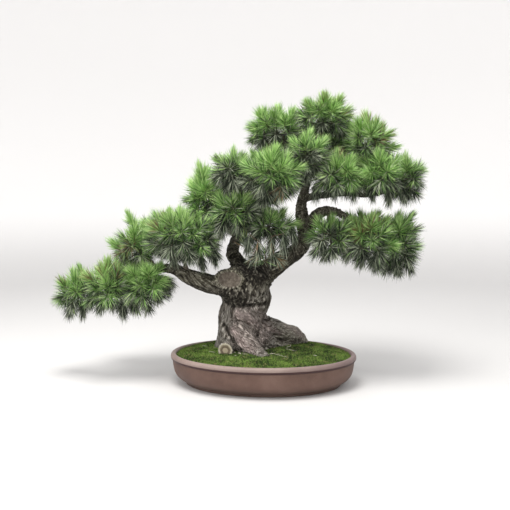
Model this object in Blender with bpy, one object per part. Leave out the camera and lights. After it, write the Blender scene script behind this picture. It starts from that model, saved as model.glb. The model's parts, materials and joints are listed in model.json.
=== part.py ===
"""Pine bonsai in an oval tray pot: pot, mossy soil, trunk, boughs and masses of needles.

Metres, +Z up. The origin is the centre of the pot's flat underside. The pot's long side lies
along X, and the tree is seen from its front when looking along +Y.
"""

import math
import random

import bmesh
import bpy
import numpy as np
from mathutils import Vector

# Pot
POT_LENGTH = 0.70
POT_WIDTH = 0.53
POT_HEIGHT = 0.115
LIP_WIDTH = 0.020
WALL = 0.014
FLOOR_THICKNESS = 0.014
POT_SEGMENTS = 32

# Soil
GROUND = 0.119  # its level under the trunk
SOIL_EDGE = 0.105  # its level at the pot's wall
MOUND_LENGTH = 0.46  # of the level place under the tree
MOUND_WIDTH = 0.35
MOUND_OFFSET = 0.045  # how far back the level place's middle lies
MOUND_RISE = 0.65  # share of the mound's height that is reached halfway up its slope

# Gaps
GAP = 0.0003  # between pieces that touch
CELL_GAP = 0.002  # between neighbouring masses
LIMB_CLEARANCE = 0.006  # between needles or twigs and the mean radius of any limb

# Limbs
TRUNK_SIDES = 12
ROOT_SIDES = 7
CUT_ROOT_SIDES = 9
BOUGH_SIDES = 8
BRANCH_SIDES = 5
RING_STEP = 0.035  # between rings
SAMPLE_STEP = 0.006  # between the points by which distances to a limb are measured
TRUNK_SPREAD = 0.08  # how far roots and lumps reach past the trunk's own radius
LIMB_SPREAD = 0.004  # how far the lobes of a limb's section reach past its own radius
BRANCH_RADIUS = 0.012  # at its start, at most
BRANCH_SHARE = 0.6  # its radius at most, as a share of the limb that it grows from
BRANCH_TIP = 0.006  # radius
BRANCH_ARCH = 0.10  # rise of its middle, as a share of its length
BRANCH_LEAST = 0.03  # bare length, at least
BRANCH_END = 0.72  # its end, as a share of the way from its mass's middle to the surface

# Stem and twigs inside a mass
STEM_SIDES = 4
STEM_STEP = 0.06  # between rings
STEM_SHARE = 0.85  # its first radius, as a share of the tip that it meets
STEM_RADII = (0.0036, 0.0024)  # at the middle of its mass, and at its own tip
STEM_BEND = 0.45  # how long it keeps its branch's direction, as a share of the way to the middle
STEM_PAST = 0.35  # how far it goes on past the middle, as a share of the same way
TWIG_RADIUS = 0.0020  # at its root
TWIG_SLANT = 0.6  # how far back down the stem a twig starts, as a share of its length
TWIG_PULLS = (1.0, 0.8, 0.6)  # shares of its length that are tried until its spray fits

# Sprays of needles. Each needle in the solids stands for a bundle.
NEEDLE = 0.066
NEEDLE_RANGE = (0.86, 1.10)  # shares of NEEDLE
NEEDLE_LEAST = 0.022  # a shorter one is left out
NEEDLE_LEAN = 0.35  # how far the needles lean towards the tip of their shoot
SPRAY_CORE = 0.0080  # radius
SPRAY_LENGTH = 0.042
SPRAY_TAIL = 0.036  # how far down the twig the needles reach
SPRAY_RINGS = (0.60,)  # along the spray, as shares of its length
SPRAY_WIDTHS = (0.60, 1.0, 0.90)  # of its rings from tail to tip, as shares of SPRAY_CORE
SHOOT_LIFT = 0.16  # how far shoots turn upwards
SPRAY_SPREAD = 0.64  # distance between the sprays of a mass, as a share of its mean half size
SPRAY_INSET = 0.048  # how far inside the surface of its mass a spray starts
SPRAY_RANGE = (0.88, 1.04)  # shares of the distance from the middle of the mass
SPRAY_SHELLS = (1.0, 0.3)  # an outer and an inner layer, as shares of that distance
SPRAY_AHEAD = 0.02  # room in front of a spray's start
SPRAY_ROOM = 0.024  # room between a spray's start and any limb
SPRAY_TRIES = 160  # places tried in each layer
SEED = 7

UP = Vector((0.0, 0.0, 1.0))

# Each large limb: what it grows from, where along that (0 to 1), the points it passes, and its
# thickness as radii from start to tip. The start point is worked out from the parent.
LIMBS = {
    "bough_left": dict(
        parent="trunk", at=0.86,
        route=[(-0.165, 0.030, 0.364), (-0.242, 0.010, 0.380), (-0.294, 0.0, 0.403),
               (-0.341, -0.010, 0.426), (-0.430, -0.012, 0.424), (-0.500, -0.030, 0.392)],
        radii=[0.046, 0.038, 0.034, 0.028, 0.020, 0.013, 0.009]),
    "leader_lower": dict(
        parent="trunk", at=0.86,
        route=[(0.0, 0.060, 0.412), (0.062, 0.060, 0.452), (0.125, 0.060, 0.496),
               (0.163, 0.060, 0.551)],
        radii=[0.052, 0.046, 0.038, 0.032, 0.031]),
    "leader_upper": dict(
        parent="leader_lower", at=0.97,
        route=[(0.148, 0.062, 0.600), (0.141, 0.065, 0.640), (0.143, 0.070, 0.685),
               (0.157, 0.075, 0.740), (0.180, 0.078, 0.820), (0.205, 0.070, 0.905)],
        radii=[0.030, 0.028, 0.025, 0.019, 0.016, 0.013, 0.009]),
    "bough_centre": dict(
        parent="trunk", at=0.93,
        route=[(-0.114, 0.078, 0.458), (-0.126, 0.088, 0.494), (-0.108, 0.090, 0.545),
               (-0.078, 0.085, 0.605), (-0.060, 0.070, 0.665), (-0.085, 0.030, 0.725)],
        radii=[0.036, 0.030, 0.025, 0.021, 0.018, 0.014, 0.009]),
    "bough_arch": dict(
        parent="leader_lower", at=0.93,
        route=[(0.182, 0.035, 0.607), (0.208, 0.018, 0.637), (0.245, 0.008, 0.646),
               (0.290, 0.0, 0.634), (0.335, -0.010, 0.600)],
        radii=[0.028, 0.024, 0.021, 0.018, 0.014, 0.009]),
    "bough_upper_right": dict(
        parent="leader_upper", at=0.40,
        route=[(0.200, 0.066, 0.703), (0.300, 0.060, 0.712), (0.395, 0.050, 0.706),
               (0.468, 0.040, 0.722)],
        radii=[0.015, 0.014, 0.012, 0.010, 0.008]),
}

# Each mass of needles: its middle, its half sizes, and the limb and place it grows from. At 1
# its stem meets the limb's own tip, and elsewhere a branch of its own leads to it.
MASSES = {
    "low_tip": ((-0.725, -0.020, 0.332), (0.090, 0.088, 0.110), "bough_left", 0.94),
    "low_front": ((-0.580, -0.065, 0.352), (0.112, 0.108, 0.120), "bough_left", 1.0),
    "low_inner": ((-0.438, -0.054, 0.366), (0.112, 0.105, 0.112), "bough_left", 0.74),
    "low_back": ((-0.560, 0.130, 0.372), (0.140, 0.100, 0.104), "bough_left", 0.82),
    "mid_left": ((-0.484, 0.0, 0.510), (0.100, 0.104, 0.104), "bough_left", 0.78),
    "mid_inner": ((-0.295, -0.055, 0.545), (0.152, 0.118, 0.120), "bough_left", 0.52),
    "mid_back": ((-0.390, 0.150, 0.555), (0.145, 0.105, 0.110), "bough_left", 0.64),
    "upper_left": ((-0.222, 0.030, 0.676), (0.096, 0.112, 0.142), "bough_centre", 0.42),
    "centre_back": ((-0.110, 0.200, 0.640), (0.130, 0.100, 0.102), "bough_centre", 0.52),
    "centre_left": ((-0.100, -0.040, 0.640), (0.108, 0.104, 0.100), "bough_centre", 0.55),
    "centre_low": ((0.020, -0.015, 0.586), (0.124, 0.100, 0.084), "bough_centre", 0.48),
    "centre_hang": ((0.018, -0.088, 0.478), (0.082, 0.058, 0.058), "leader_lower", 0.34),
    "crown_left": ((-0.104, -0.040, 0.788), (0.100, 0.104, 0.096), "bough_centre", 1.0),
    "crown_front": ((0.045, -0.115, 0.768), (0.130, 0.112, 0.116), "bough_centre", 0.74),
    "crown_right": ((0.166, -0.070, 0.838), (0.100, 0.098, 0.104), "leader_upper", 0.58),
    "crown_back": ((-0.005, 0.190, 0.775), (0.160, 0.115, 0.122), "bough_centre", 0.84),
    "apex_left": ((0.045, 0.060, 0.945), (0.132, 0.125, 0.104), "leader_upper", 0.84),
    "apex": ((0.225, 0.050, 0.985), (0.135, 0.130, 0.102), "leader_upper", 1.0),
    "apex_right": ((0.382, 0.020, 0.896), (0.112, 0.115, 0.115), "leader_upper", 0.80),
    "apex_back": ((0.220, 0.215, 0.900), (0.165, 0.120, 0.122), "leader_upper", 0.70),
    "right_inner": ((0.276, -0.034, 0.772), (0.124, 0.120, 0.100), "bough_upper_right", 0.36),
    "right_mid": ((0.420, -0.032, 0.776), (0.102, 0.112, 0.104), "bough_upper_right", 0.70),
    "right_back": ((0.370, 0.180, 0.795), (0.155, 0.105, 0.102), "bough_upper_right", 0.55),
    "right_tip": ((0.524, 0.030, 0.764), (0.086, 0.092, 0.112), "bough_upper_right", 1.0),
    "low_right_inner": ((0.250, -0.022, 0.544), (0.100, 0.106, 0.106), "bough_arch", 0.60),
    "low_right_mid": ((0.390, -0.035, 0.534), (0.110, 0.112, 0.124), "bough_arch", 1.0),
    "low_right_back": ((0.375, 0.150, 0.560), (0.148, 0.100, 0.098), "bough_arch", 0.74),
    "low_right_tip": ((0.498, 0.020, 0.514), (0.092, 0.102, 0.136), "bough_arch", 0.88),
}

# The trunk's middle line from just below the ground, and its radius at each point
TRUNK_SPINE = [(-0.100, 0.065, GROUND - 0.03), (-0.100, 0.065, 0.135), (-0.094, 0.062, 0.195),
               (-0.075, 0.056, 0.280), (-0.070, 0.053, 0.335), (-0.064, 0.054, 0.385),
               (-0.064, 0.058, 0.432)]
TRUNK_RADII = [0.098, 0.092, 0.088, 0.088, 0.094, 0.090, 0.062]

# Each surface root: its points and radii. The last point is its tip.
ROOTS = {
    "front": ([(-0.085, 0.030, 0.200), (-0.062, -0.018, 0.150), (-0.020, -0.062, 0.126),
               (0.024, -0.116, 0.115)], [0.056, 0.048, 0.030, 0.017]),
    "right": ([(-0.050, 0.070, 0.205), (0.018, 0.085, 0.185), (0.075, 0.118, 0.158),
               (0.108, 0.143, 0.149), (0.137, 0.160, 0.129), (0.158, 0.172, 0.103)],
              [0.058, 0.047, 0.044, 0.041, 0.029, 0.016]),
    "right_low": ([(-0.038, 0.026, 0.150), (0.026, 0.076, 0.136), (0.090, 0.120, 0.118)],
                  [0.064, 0.040, 0.022]),
    "left": ([(-0.120, 0.060, 0.175), (-0.149, 0.053, 0.132), (-0.176, 0.047, 0.100)],
             [0.049, 0.032, 0.014]),
    "back_left": ([(-0.115, 0.090, 0.180), (-0.140, 0.140, 0.134), (-0.165, 0.185, 0.100)],
                  [0.052, 0.036, 0.014]),
    "back_right": ([(-0.070, 0.090, 0.180), (-0.030, 0.145, 0.136), (0.005, 0.195, 0.102)],
                   [0.052, 0.036, 0.014]),
}

# Lumps on the trunk: middle and half sizes. The collar is cut flat at the pruning scar.
LUMPS = {
    "fork": ((-0.062, 0.056, 0.388), (0.098, 0.086, 0.062)),
    "burl": ((-0.108, 0.015, 0.355), (0.066, 0.060, 0.062)),
    "collar": ((-0.113, -0.006, 0.387), (0.074, 0.050, 0.046)),
}
SCAR_NORMAL = (-0.28, -0.95, 0.14)
SCAR_DEPTH = 0.033  # from the collar's middle to the scar
CUT_ROOT = dict(start=(-0.112, 0.030, 0.138), end=(-0.131, -0.088, 0.136), radius=0.028)


def clear_scene():
    for obj in list(bpy.data.objects):
        bpy.data.objects.remove(obj)


def material(name, colour, roughness):
    made = bpy.data.materials.new(name)
    made.use_nodes = True
    shader = made.node_tree.nodes["Principled BSDF"]
    shader.inputs["Base Color"].default_value = (*colour, 1.0)
    shader.inputs["Roughness"].default_value = roughness
    shader.inputs["Metallic"].default_value = 0.0
    return made


def new_object(name, verts, faces):
    mesh = bpy.data.meshes.new(name)
    mesh.from_pydata([tuple(v) for v in verts], [], [tuple(f) for f in faces])
    bm = bmesh.new()
    bm.from_mesh(mesh)
    bmesh.ops.recalc_face_normals(bm, faces=bm.faces)
    bmesh.ops.triangulate(bm, faces=bm.faces)
    bm.to_mesh(mesh)
    bm.free()
    obj = bpy.data.objects.new(name, mesh)
    bpy.context.scene.collection.objects.link(obj)
    return obj


def boolean(obj, others, operation):
    """Joins or cuts obj by the other objects, applies it, and removes them."""
    group = bpy.data.collections.new("operands")
    bpy.context.scene.collection.children.link(group)
    for other in others:
        bpy.context.scene.collection.objects.unlink(other)
        group.objects.link(other)
    modifier = obj.modifiers.new(operation, "BOOLEAN")
    modifier.operation = operation
    modifier.operand_type = "COLLECTION"
    modifier.collection = group
    modifier.solver = "EXACT"
    bpy.context.view_layer.update()
    graph = bpy.context.evaluated_depsgraph_get()
    mesh = bpy.data.meshes.new_from_object(obj.evaluated_get(graph))
    obj.modifiers.clear()
    obj.data = mesh
    for other in others:
        bpy.data.objects.remove(other)
    bpy.data.collections.remove(group)
    return obj


def keep_largest(obj):
    """Drops the loose scraps that a cut leaves beside the main body."""
    bm = bmesh.new()
    bm.from_mesh(obj.data)
    unseen, bodies = set(bm.verts), []
    while unseen:
        body, edge = set(), [unseen.pop()]
        while edge:
            vert = edge.pop()
            body.add(vert)
            near = {e.other_vert(vert) for e in vert.link_edges} & unseen
            unseen -= near
            edge.extend(near)
        bodies.append(body)

    def size(body):
        return sum(max(v.co[i] for v in body) - min(v.co[i] for v in body) for i in range(3))

    main = max(bodies, key=size)
    bmesh.ops.delete(bm, geom=[v for v in bm.verts if v not in main], context="VERTS")
    bm.to_mesh(obj.data)
    bm.free()
    return obj


def smooth_route(points, radii, step):
    """Points and radii about a step apart on a smooth curve through the given ones."""
    ends = [2 * points[0] - points[1], *points, 2 * points[-1] - points[-2]]
    route, sizes = [], []
    for i in range(len(points) - 1):
        a, b, c, d = ends[i:i + 4]
        count = max(1, round((c - b).length / step))
        for k in range(count):
            t = k / count
            route.append(0.5 * (2 * b + t * (c - a) + t * t * (2 * a - 5 * b + 4 * c - d)
                                + t ** 3 * (3 * b - a - 3 * c + d)))
            sizes.append(radii[i] + t * (radii[i + 1] - radii[i]))
    return [*route, points[-1]], [*sizes, radii[-1]]


def tube(name, points, radii, sides, lobes=None):
    """A closed tube of round sections. lobes(k, angle) scales ring k at that angle."""
    verts, side = [], None
    for k, (point, radius) in enumerate(zip(points, radii)):
        ahead = points[min(k + 1, len(points) - 1)] - points[max(k - 1, 0)]
        ahead.normalize()
        if side is None:
            side = ahead.cross(Vector((0.0, 1.0, 0.2))).normalized()
        side = (side - ahead * side.dot(ahead)).normalized()
        other = ahead.cross(side)
        for j in range(sides):
            angle = math.tau * j / sides
            reach = radius * (lobes(k, angle) if lobes else 1.0)
            verts.append(point + reach * (math.cos(angle) * side + math.sin(angle) * other))
    faces = [list(range(sides)), list(range(len(verts) - sides, len(verts)))]
    for k in range(len(points) - 1):
        for j in range(sides):
            a, b = k * sides + j, k * sides + (j + 1) % sides
            faces.append((a, b, b + sides, a + sides))
    return new_object(name, verts, faces)


def lump(name, centre, half, grow):
    """A coarse ball stretched to the half sizes."""
    bm = bmesh.new()
    bmesh.ops.create_icosphere(bm, subdivisions=2, radius=1.0)
    for v in bm.verts:
        v.co = Vector(centre) + Vector([c * (h + grow) for c, h in zip(v.co, half)])
    mesh = bpy.data.meshes.new(name)
    bm.to_mesh(mesh)
    bm.free()
    obj = bpy.data.objects.new(name, mesh)
    bpy.context.scene.collection.objects.link(obj)
    return obj


def half_space(name, point, normal, size=1.0):
    """A block whose one face lies at the point, facing the normal, with the block behind it."""
    normal = Vector(normal).normalized()
    side = normal.orthogonal().normalized()
    other = normal.cross(side)
    verts = []
    for depth in (0.0, size):
        for u, v in ((-1, -1), (1, -1), (1, 1), (-1, 1)):
            verts.append(Vector(point) + normal * depth + size * (u * side + v * other))
    faces = [(0, 1, 2, 3), (4, 5, 6, 7), (0, 1, 5, 4), (1, 2, 6, 5), (2, 3, 7, 6), (3, 0, 4, 7)]
    return new_object(name, verts, faces)


def bark_swell(seed):
    """Gentle lobes that make a limb's section less round."""
    def scale(k, angle):
        return 1.0 + 0.05 * math.sin(3 * angle + 1.7 * k + seed) + 0.03 * math.sin(5 * angle - k)
    return scale


def trunk(name, grow=0.0):
    """The trunk with its roots, fork, burl, pruning scar and cut root, flat at the ground."""
    spine, radii = smooth_route([Vector(p) for p in TRUNK_SPINE], TRUNK_RADII, RING_STEP)
    body = tube(name, spine, [r + grow for r in radii], TRUNK_SIDES, bark_swell(0.4))
    pieces = []
    for root, (points, root_radii) in ROOTS.items():
        route, sizes = smooth_route([Vector(p) for p in points], root_radii, RING_STEP)
        pieces.append(tube(root, route, [r + grow for r in sizes], ROOT_SIDES))
    lumps = {key: lump(key, centre, half, grow) for key, (centre, half) in LUMPS.items()}
    facing = Vector(SCAR_NORMAL).normalized()
    scar = half_space("scar", Vector(LUMPS["collar"][0]) + facing * (SCAR_DEPTH + grow), facing)
    boolean(lumps["collar"], [scar], "DIFFERENCE")
    pieces += lumps.values()
    start, end = Vector(CUT_ROOT["start"]), Vector(CUT_ROOT["end"])
    cut_root = tube("cut_root", [start, end], [CUT_ROOT["radius"] + grow] * 2, CUT_ROOT_SIDES)
    pieces.append(cut_root)
    boolean(body, pieces, "UNION")
    ground = half_space("below", (0.0, 0.0, GROUND), -UP)
    return boolean(body, [ground], "DIFFERENCE")


def oval(length, width, z, segments=POT_SEGMENTS):
    return [Vector((length / 2 * math.cos(math.tau * j / segments),
                    width / 2 * math.sin(math.tau * j / segments), z)) for j in range(segments)]


def stacked(name, rings):
    """A closed solid from rings of the same count, the first and last one filled."""
    count = len(rings[0])
    verts = [v for ring in rings for v in ring]
    faces = [list(range(count)), list(range(len(verts) - count, len(verts)))]
    for k in range(len(rings) - 1):
        for j in range(count):
            a, b = k * count + j, k * count + (j + 1) % count
            faces.append((a, b, b + count, a + count))
    return new_object(name, verts, faces)


def pot_inside(grow=0.0):
    """(inset from the pot's outline, height) of the inner wall, from the floor to the lip."""
    return [(0.066 + grow, FLOOR_THICKNESS + grow), (0.044 + grow, FLOOR_THICKNESS + 0.012 + grow),
            (LIP_WIDTH + WALL * 0.5 + grow, 0.060), (LIP_WIDTH + grow, SOIL_EDGE)]


def pot(name):
    outside = [(0.058, 0.0), (0.055, 0.010), (0.046, 0.014), (0.024, 0.030), (0.012, 0.052),
               (0.007, 0.090), (0.001, 0.094), (0.0, 0.103), (0.003, 0.112), (0.008, POT_HEIGHT),
               (LIP_WIDTH - 0.002, POT_HEIGHT - 0.001)]
    profile = outside + list(reversed(pot_inside()))
    rings = [oval(POT_LENGTH - 2 * inset, POT_WIDTH - 2 * inset, z) for inset, z in profile]
    return stacked(name, rings)


def soil(name):
    """The soil fills the pot and rises to a level place under the trunk."""
    rings = [oval(POT_LENGTH - 2 * inset, POT_WIDTH - 2 * inset, z)
             for inset, z in pot_inside(GAP)]
    level = [v + Vector((0.0, MOUND_OFFSET, 0.0))
             for v in oval(MOUND_LENGTH, MOUND_WIDTH, GROUND - GAP)]
    halfway = SOIL_EDGE + MOUND_RISE * (GROUND - SOIL_EDGE)
    between = [Vector(((a.x + b.x) / 2, (a.y + b.y) / 2, halfway))
               for a, b in zip(rings[-1], level)]
    return stacked(name, rings + [between, level])


class Limb:
    """A limb's worked-out middle line, so that others can start from it and keep clear."""

    def __init__(self, points, radii):
        self.points, self.radii = points, radii
        steps = [0.0]
        for a, b in zip(points, points[1:]):
            steps.append(steps[-1] + (b - a).length)
        self.steps = steps

    def place(self, at):
        """(point, radius) at a share of the length."""
        target = at * self.steps[-1]
        for k in range(len(self.points) - 1):
            if target <= self.steps[k + 1] + 1e-9:
                t = (target - self.steps[k]) / (self.steps[k + 1] - self.steps[k])
                return (self.points[k].lerp(self.points[k + 1], t),
                        self.radii[k] + t * (self.radii[k + 1] - self.radii[k]))
        return self.points[-1], self.radii[-1]

    def dense(self):
        """Points and radii close together, as arrays."""
        count = max(2, round(self.steps[-1] / SAMPLE_STEP))
        places = [self.place(k / count) for k in range(count + 1)]
        return np.array([p for p, _ in places]), np.array([r for _, r in places])


def limb_of(points, radii):
    return Limb(*smooth_route(points, radii, RING_STEP))


def entry(centre, half, start, radius):
    """Where a branch from a limb of this radius ends: a little inside the surface of its mass."""
    towards = (start - centre).normalized()
    reach = 1.0 / math.sqrt(sum((t / h) ** 2 for t, h in zip(towards, half)))
    room = (start - centre).length - radius - BRANCH_LEAST
    return centre + towards * max(0.0, min(BRANCH_END * reach, room))


def plan_limbs():
    """Every limb as a Limb: the trunk's line, the large limbs, then a branch to each mass."""
    limbs = {"trunk": limb_of([Vector(p) for p in TRUNK_SPINE], TRUNK_RADII)}
    for name, facts in LIMBS.items():
        start, _ = limbs[facts["parent"]].place(facts["at"])
        limbs[name] = limb_of([start] + [Vector(p) for p in facts["route"]], facts["radii"])
    tips = {}
    for name, (centre, half, parent, at) in MASSES.items():
        if at == 1.0:
            tips[name] = parent
            continue
        start, radius = limbs[parent].place(at)
        tip = entry(Vector(centre), half, start, radius)
        middle = start.lerp(tip, 0.5) + UP * BRANCH_ARCH * (tip - start).length
        thick = min(BRANCH_SHARE * radius, BRANCH_RADIUS)
        limbs["branch_" + name] = limb_of([start, middle, tip],
                                          [thick, (thick + BRANCH_TIP) / 2, BRANCH_TIP])
        tips[name] = "branch_" + name
    return limbs, tips


def cut_clear(name, obj, limbs, earlier, sides):
    """Cuts obj back from the limbs built before it, to leave the gap of a close joint."""
    points, radii = limbs[name].dense()
    cutters = []
    for other in earlier:
        far, wide = limbs[other].dense()
        near = np.linalg.norm(points[:, None] - far[None], axis=2) - radii[:, None] - wide[None]
        if other == "trunk":
            if near.min() < TRUNK_SPREAD:
                cutters.append(trunk("trunk_cutter", GAP))
        elif near.min() < LIMB_SPREAD:
            cutters.append(limb_tube("limb_cutter", limbs[other], sides[other], GAP))
    for cutter in cutters:
        boolean(obj, [cutter], "DIFFERENCE")
    return keep_largest(obj)


def limb_tube(name, limb, sides, grow=0.0):
    """The limb's solid, or a copy of it that is fatter and longer by grow."""
    points = list(limb.points)
    points[0] = points[0] + grow * (points[0] - points[1]).normalized()
    points[-1] = points[-1] + grow * (points[-1] - points[-2]).normalized()
    return tube(name, points, [r + grow for r in limb.radii], sides,
                bark_swell(len(limb.points)) if sides == BOUGH_SIDES else None)


class Space:
    """The room that one mass keeps to: its own oval, up to halfway to each neighbour."""

    def __init__(self, name):
        centre, half = MASSES[name][:2]
        self.centre, self.half = np.array(centre), np.array(half)
        self.planes = []
        for other, (far, far_half, _, _) in MASSES.items():
            if other == name:
                continue
            apart = np.array(far) - self.centre
            distance = np.linalg.norm(apart)
            apart /= distance
            mine = 1 / np.linalg.norm(apart / self.half)
            theirs = 1 / np.linalg.norm(apart / np.array(far_half))
            self.planes.append((apart, distance * mine / (mine + theirs) - CELL_GAP / 2))

    def holds(self, points):
        """Which points lie in the room."""
        from_centre = np.atleast_2d(points) - self.centre
        inside = np.linalg.norm(from_centre / self.half, axis=1) <= 1.0
        for normal, limit in self.planes:
            inside &= from_centre @ normal <= limit
        return inside


def clear_of_limbs(points, margin, lines, thick):
    apart = np.linalg.norm(np.atleast_2d(points)[:, None] - lines[None], axis=2) - thick[None]
    return apart.min(axis=1) > margin


def spray_places(space, lines, thick, rng):
    """Where the sprays of a mass sit: spread evenly by a spiral, each with room around it."""
    places = []
    apart = SPRAY_SPREAD * float(np.mean(space.half))
    rim = space.half - SPRAY_INSET
    for shell in SPRAY_SHELLS:
        turn = rng.random() * math.tau
        for k in range(SPRAY_TRIES):
            z = 1 - (2 * k + 1) / SPRAY_TRIES
            across = math.sqrt(1 - z * z)
            angle = turn + k * math.pi * (3 - math.sqrt(5))
            way = np.array([across * math.cos(angle), across * math.sin(angle), z])
            point = space.centre + way * rim * shell * rng.uniform(*SPRAY_RANGE)
            if not space.holds(point + way * SPRAY_AHEAD)[0]:
                continue
            if not clear_of_limbs(point, SPRAY_ROOM, lines, thick)[0]:
                continue
            if all(np.linalg.norm(point - p) > apart for p in places):
                places.append(point)
    return places


def free_length(root, way, most, space, lines, thick, others):
    """How far a needle can reach before it leaves the room, meets a limb or another spray."""
    shares = np.linspace(0.15, 1.0, 18)
    points = root + way * (most * shares)[:, None]
    fine = space.holds(points)
    fine &= clear_of_limbs(points, LIMB_CLEARANCE, lines, thick)
    for other, own in others:
        normal = (other - own) / np.linalg.norm(other - own)
        fine &= (points - (other + own) / 2) @ normal < -CELL_GAP / 2
    if fine.all():
        return most
    first_bad = int(np.argmin(fine))
    return most * float(shares[first_bad - 1]) if first_bad else 0.0


def ring(centre, axis, side, radius, turn):
    other = np.cross(axis, side)
    angles = [turn + math.tau * j / 3 for j in range(3)]
    return [centre + radius * (math.cos(a) * side + math.sin(a) * other) for a in angles]


def spray(name, attach, place, axis, space, lines, thick, others, rng):
    """A twig whose outer half is a slim core with needles standing out of every face of it."""
    twig = place - attach
    twig_length = np.linalg.norm(twig)
    twig /= twig_length
    side = np.cross(axis, [0.3, 0.9, 0.2])
    side /= np.linalg.norm(side)
    bare = place - twig * min(SPRAY_TAIL, 0.6 * twig_length)
    centres = [attach, bare, place] + [place + axis * s * SPRAY_LENGTH for s in SPRAY_RINGS]
    widths = [TWIG_RADIUS] + [share * SPRAY_CORE for share in SPRAY_WIDTHS]
    verts = []
    for k, (centre, width) in enumerate(zip(centres, widths)):
        verts += ring(centre, axis, side, width, k % 2 * math.pi / 3)
    verts.append(place + axis * SPRAY_LENGTH)
    clear = clear_of_limbs(verts[6:], LIMB_CLEARANCE, lines, thick)
    if not clear.all() or not space.holds(verts[3:]).all():
        return None
    faces = [(0, 2, 1)]
    needle_faces = []
    for k in range(len(centres) - 1):
        here, ahead = 3 * k, 3 * k + 3
        for j in range(3):
            n = (j + 1) % 3
            if k % 2:
                pair = [(here + j, here + n, ahead + n), (here + j, ahead + n, ahead + j)]
            else:
                pair = [(here + j, here + n, ahead + j), (here + n, ahead + n, ahead + j)]
            (needle_faces if k else faces).extend(pair)
    last = 3 * len(centres) - 3
    needle_faces += [(last + j, last + (j + 1) % 3, len(verts) - 1) for j in range(3)]
    for corners in needle_faces:
        points = [verts[c] for c in corners]
        root = sum(points) / 3
        normal = np.cross(points[1] - points[0], points[2] - points[0])
        normal /= np.linalg.norm(normal)
        way = normal + NEEDLE_LEAN * axis
        way /= np.linalg.norm(way)
        most = NEEDLE * rng.uniform(*NEEDLE_RANGE)
        length = free_length(root, way, most, space, lines, thick, others)
        if length < NEEDLE_LEAST:
            faces.append(corners)
            continue
        verts.append(root + way * length)
        tip = len(verts) - 1
        faces += [(corners[j], corners[(j + 1) % 3], tip) for j in range(3)]
    return new_object(name, verts, faces)


def mass(name, limbs, tips, lines, thick):
    """One mass of needles: a stem from its branch's tip, and twigs that end in sprays."""
    rng = random.Random(SEED + list(MASSES).index(name))
    space = Space(name)
    limb = limbs[tips[name]]
    ahead = (limb.points[-1] - limb.points[-2]).normalized()
    start = limb.points[-1] + ahead * GAP
    thickest = STEM_SHARE * limb.radii[-1]
    centre = Vector(space.centre)
    past = centre + (centre - start) * STEM_PAST
    bend = start + ahead * STEM_BEND * (centre - start).length
    stem = Limb(*smooth_route([start, bend, centre, past],
                              [thickest, STEM_SHARE * thickest, *STEM_RADII], STEM_STEP))
    whole = tube("needles_" + name, stem.points, stem.radii, STEM_SIDES)
    along, _ = stem.dense()
    places = spray_places(space, lines, thick, rng)
    pieces = []
    for k, place in enumerate(places):
        reach = np.linalg.norm(along - place, axis=1)
        nearest = int(reach.argmin())
        back = round(TWIG_SLANT * reach[nearest] / SAMPLE_STEP)
        attach = along[min(max(nearest - back, 3), len(along) - 3)]
        out = (place - space.centre) / space.half
        twig = place - attach
        axis = out / np.linalg.norm(out) + twig / np.linalg.norm(twig) + SHOOT_LIFT * np.array(UP)
        axis /= np.linalg.norm(axis)
        outer = attach + twig * np.linspace(0.3, 1.0, 6)[:, None]
        if not clear_of_limbs(outer, LIMB_CLEARANCE, lines, thick).all():
            continue
        others = [(p, place) for p in places if p is not place]
        for pull in TWIG_PULLS:
            near = attach + twig * pull
            made = spray(f"spray_{k}", attach, near, axis, space, lines, thick, others, rng)
            if made is not None:
                pieces.append(made)
                break
    boolean(whole, pieces, "UNION")
    return whole


def finish(obj, look):
    obj.data.materials.clear()
    obj.data.materials.append(look)
    for face in obj.data.polygons:
        face.material_index = 0
    return obj


def build():
    clear_scene()
    glaze = material("pot_clay", (0.30, 0.22, 0.19), 0.55)
    moss = material("moss", (0.09, 0.17, 0.03), 0.95)
    bark = material("bark", (0.17, 0.14, 0.11), 0.9)
    green = material("needles", (0.11, 0.24, 0.07), 0.6)

    limbs, tips = plan_limbs()
    finish(pot("pot"), glaze)
    finish(soil("soil"), moss)
    finish(trunk("trunk"), bark)
    sides = {name: BOUGH_SIDES if name in LIMBS else BRANCH_SIDES for name in limbs}
    earlier = ["trunk"]
    for name in limbs:
        if name == "trunk":
            continue
        made = limb_tube(name, limbs[name], sides[name])
        finish(cut_clear(name, made, limbs, earlier, sides), bark)
        earlier.append(name)

    dense = [limb.dense() for limb in limbs.values()]
    lines = np.concatenate([points for points, _ in dense])
    thick = np.concatenate([radii for _, radii in dense])
    for name in MASSES:
        finish(mass(name, limbs, tips, lines, thick), green)


build()
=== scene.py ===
"""Pine bonsai in an oval tray pot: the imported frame, dressed with bark, needles, moss and clay.

Metres, +Z up, in the frame of the CAD. The tree's bones are worked out again from the sizes that
the solids have, and grow on here to finer twigs and single needles.
"""

import json
import math
import random

import bmesh
import bpy
import numpy as np
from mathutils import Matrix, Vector, noise
from mathutils.kdtree import KDTree

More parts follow.
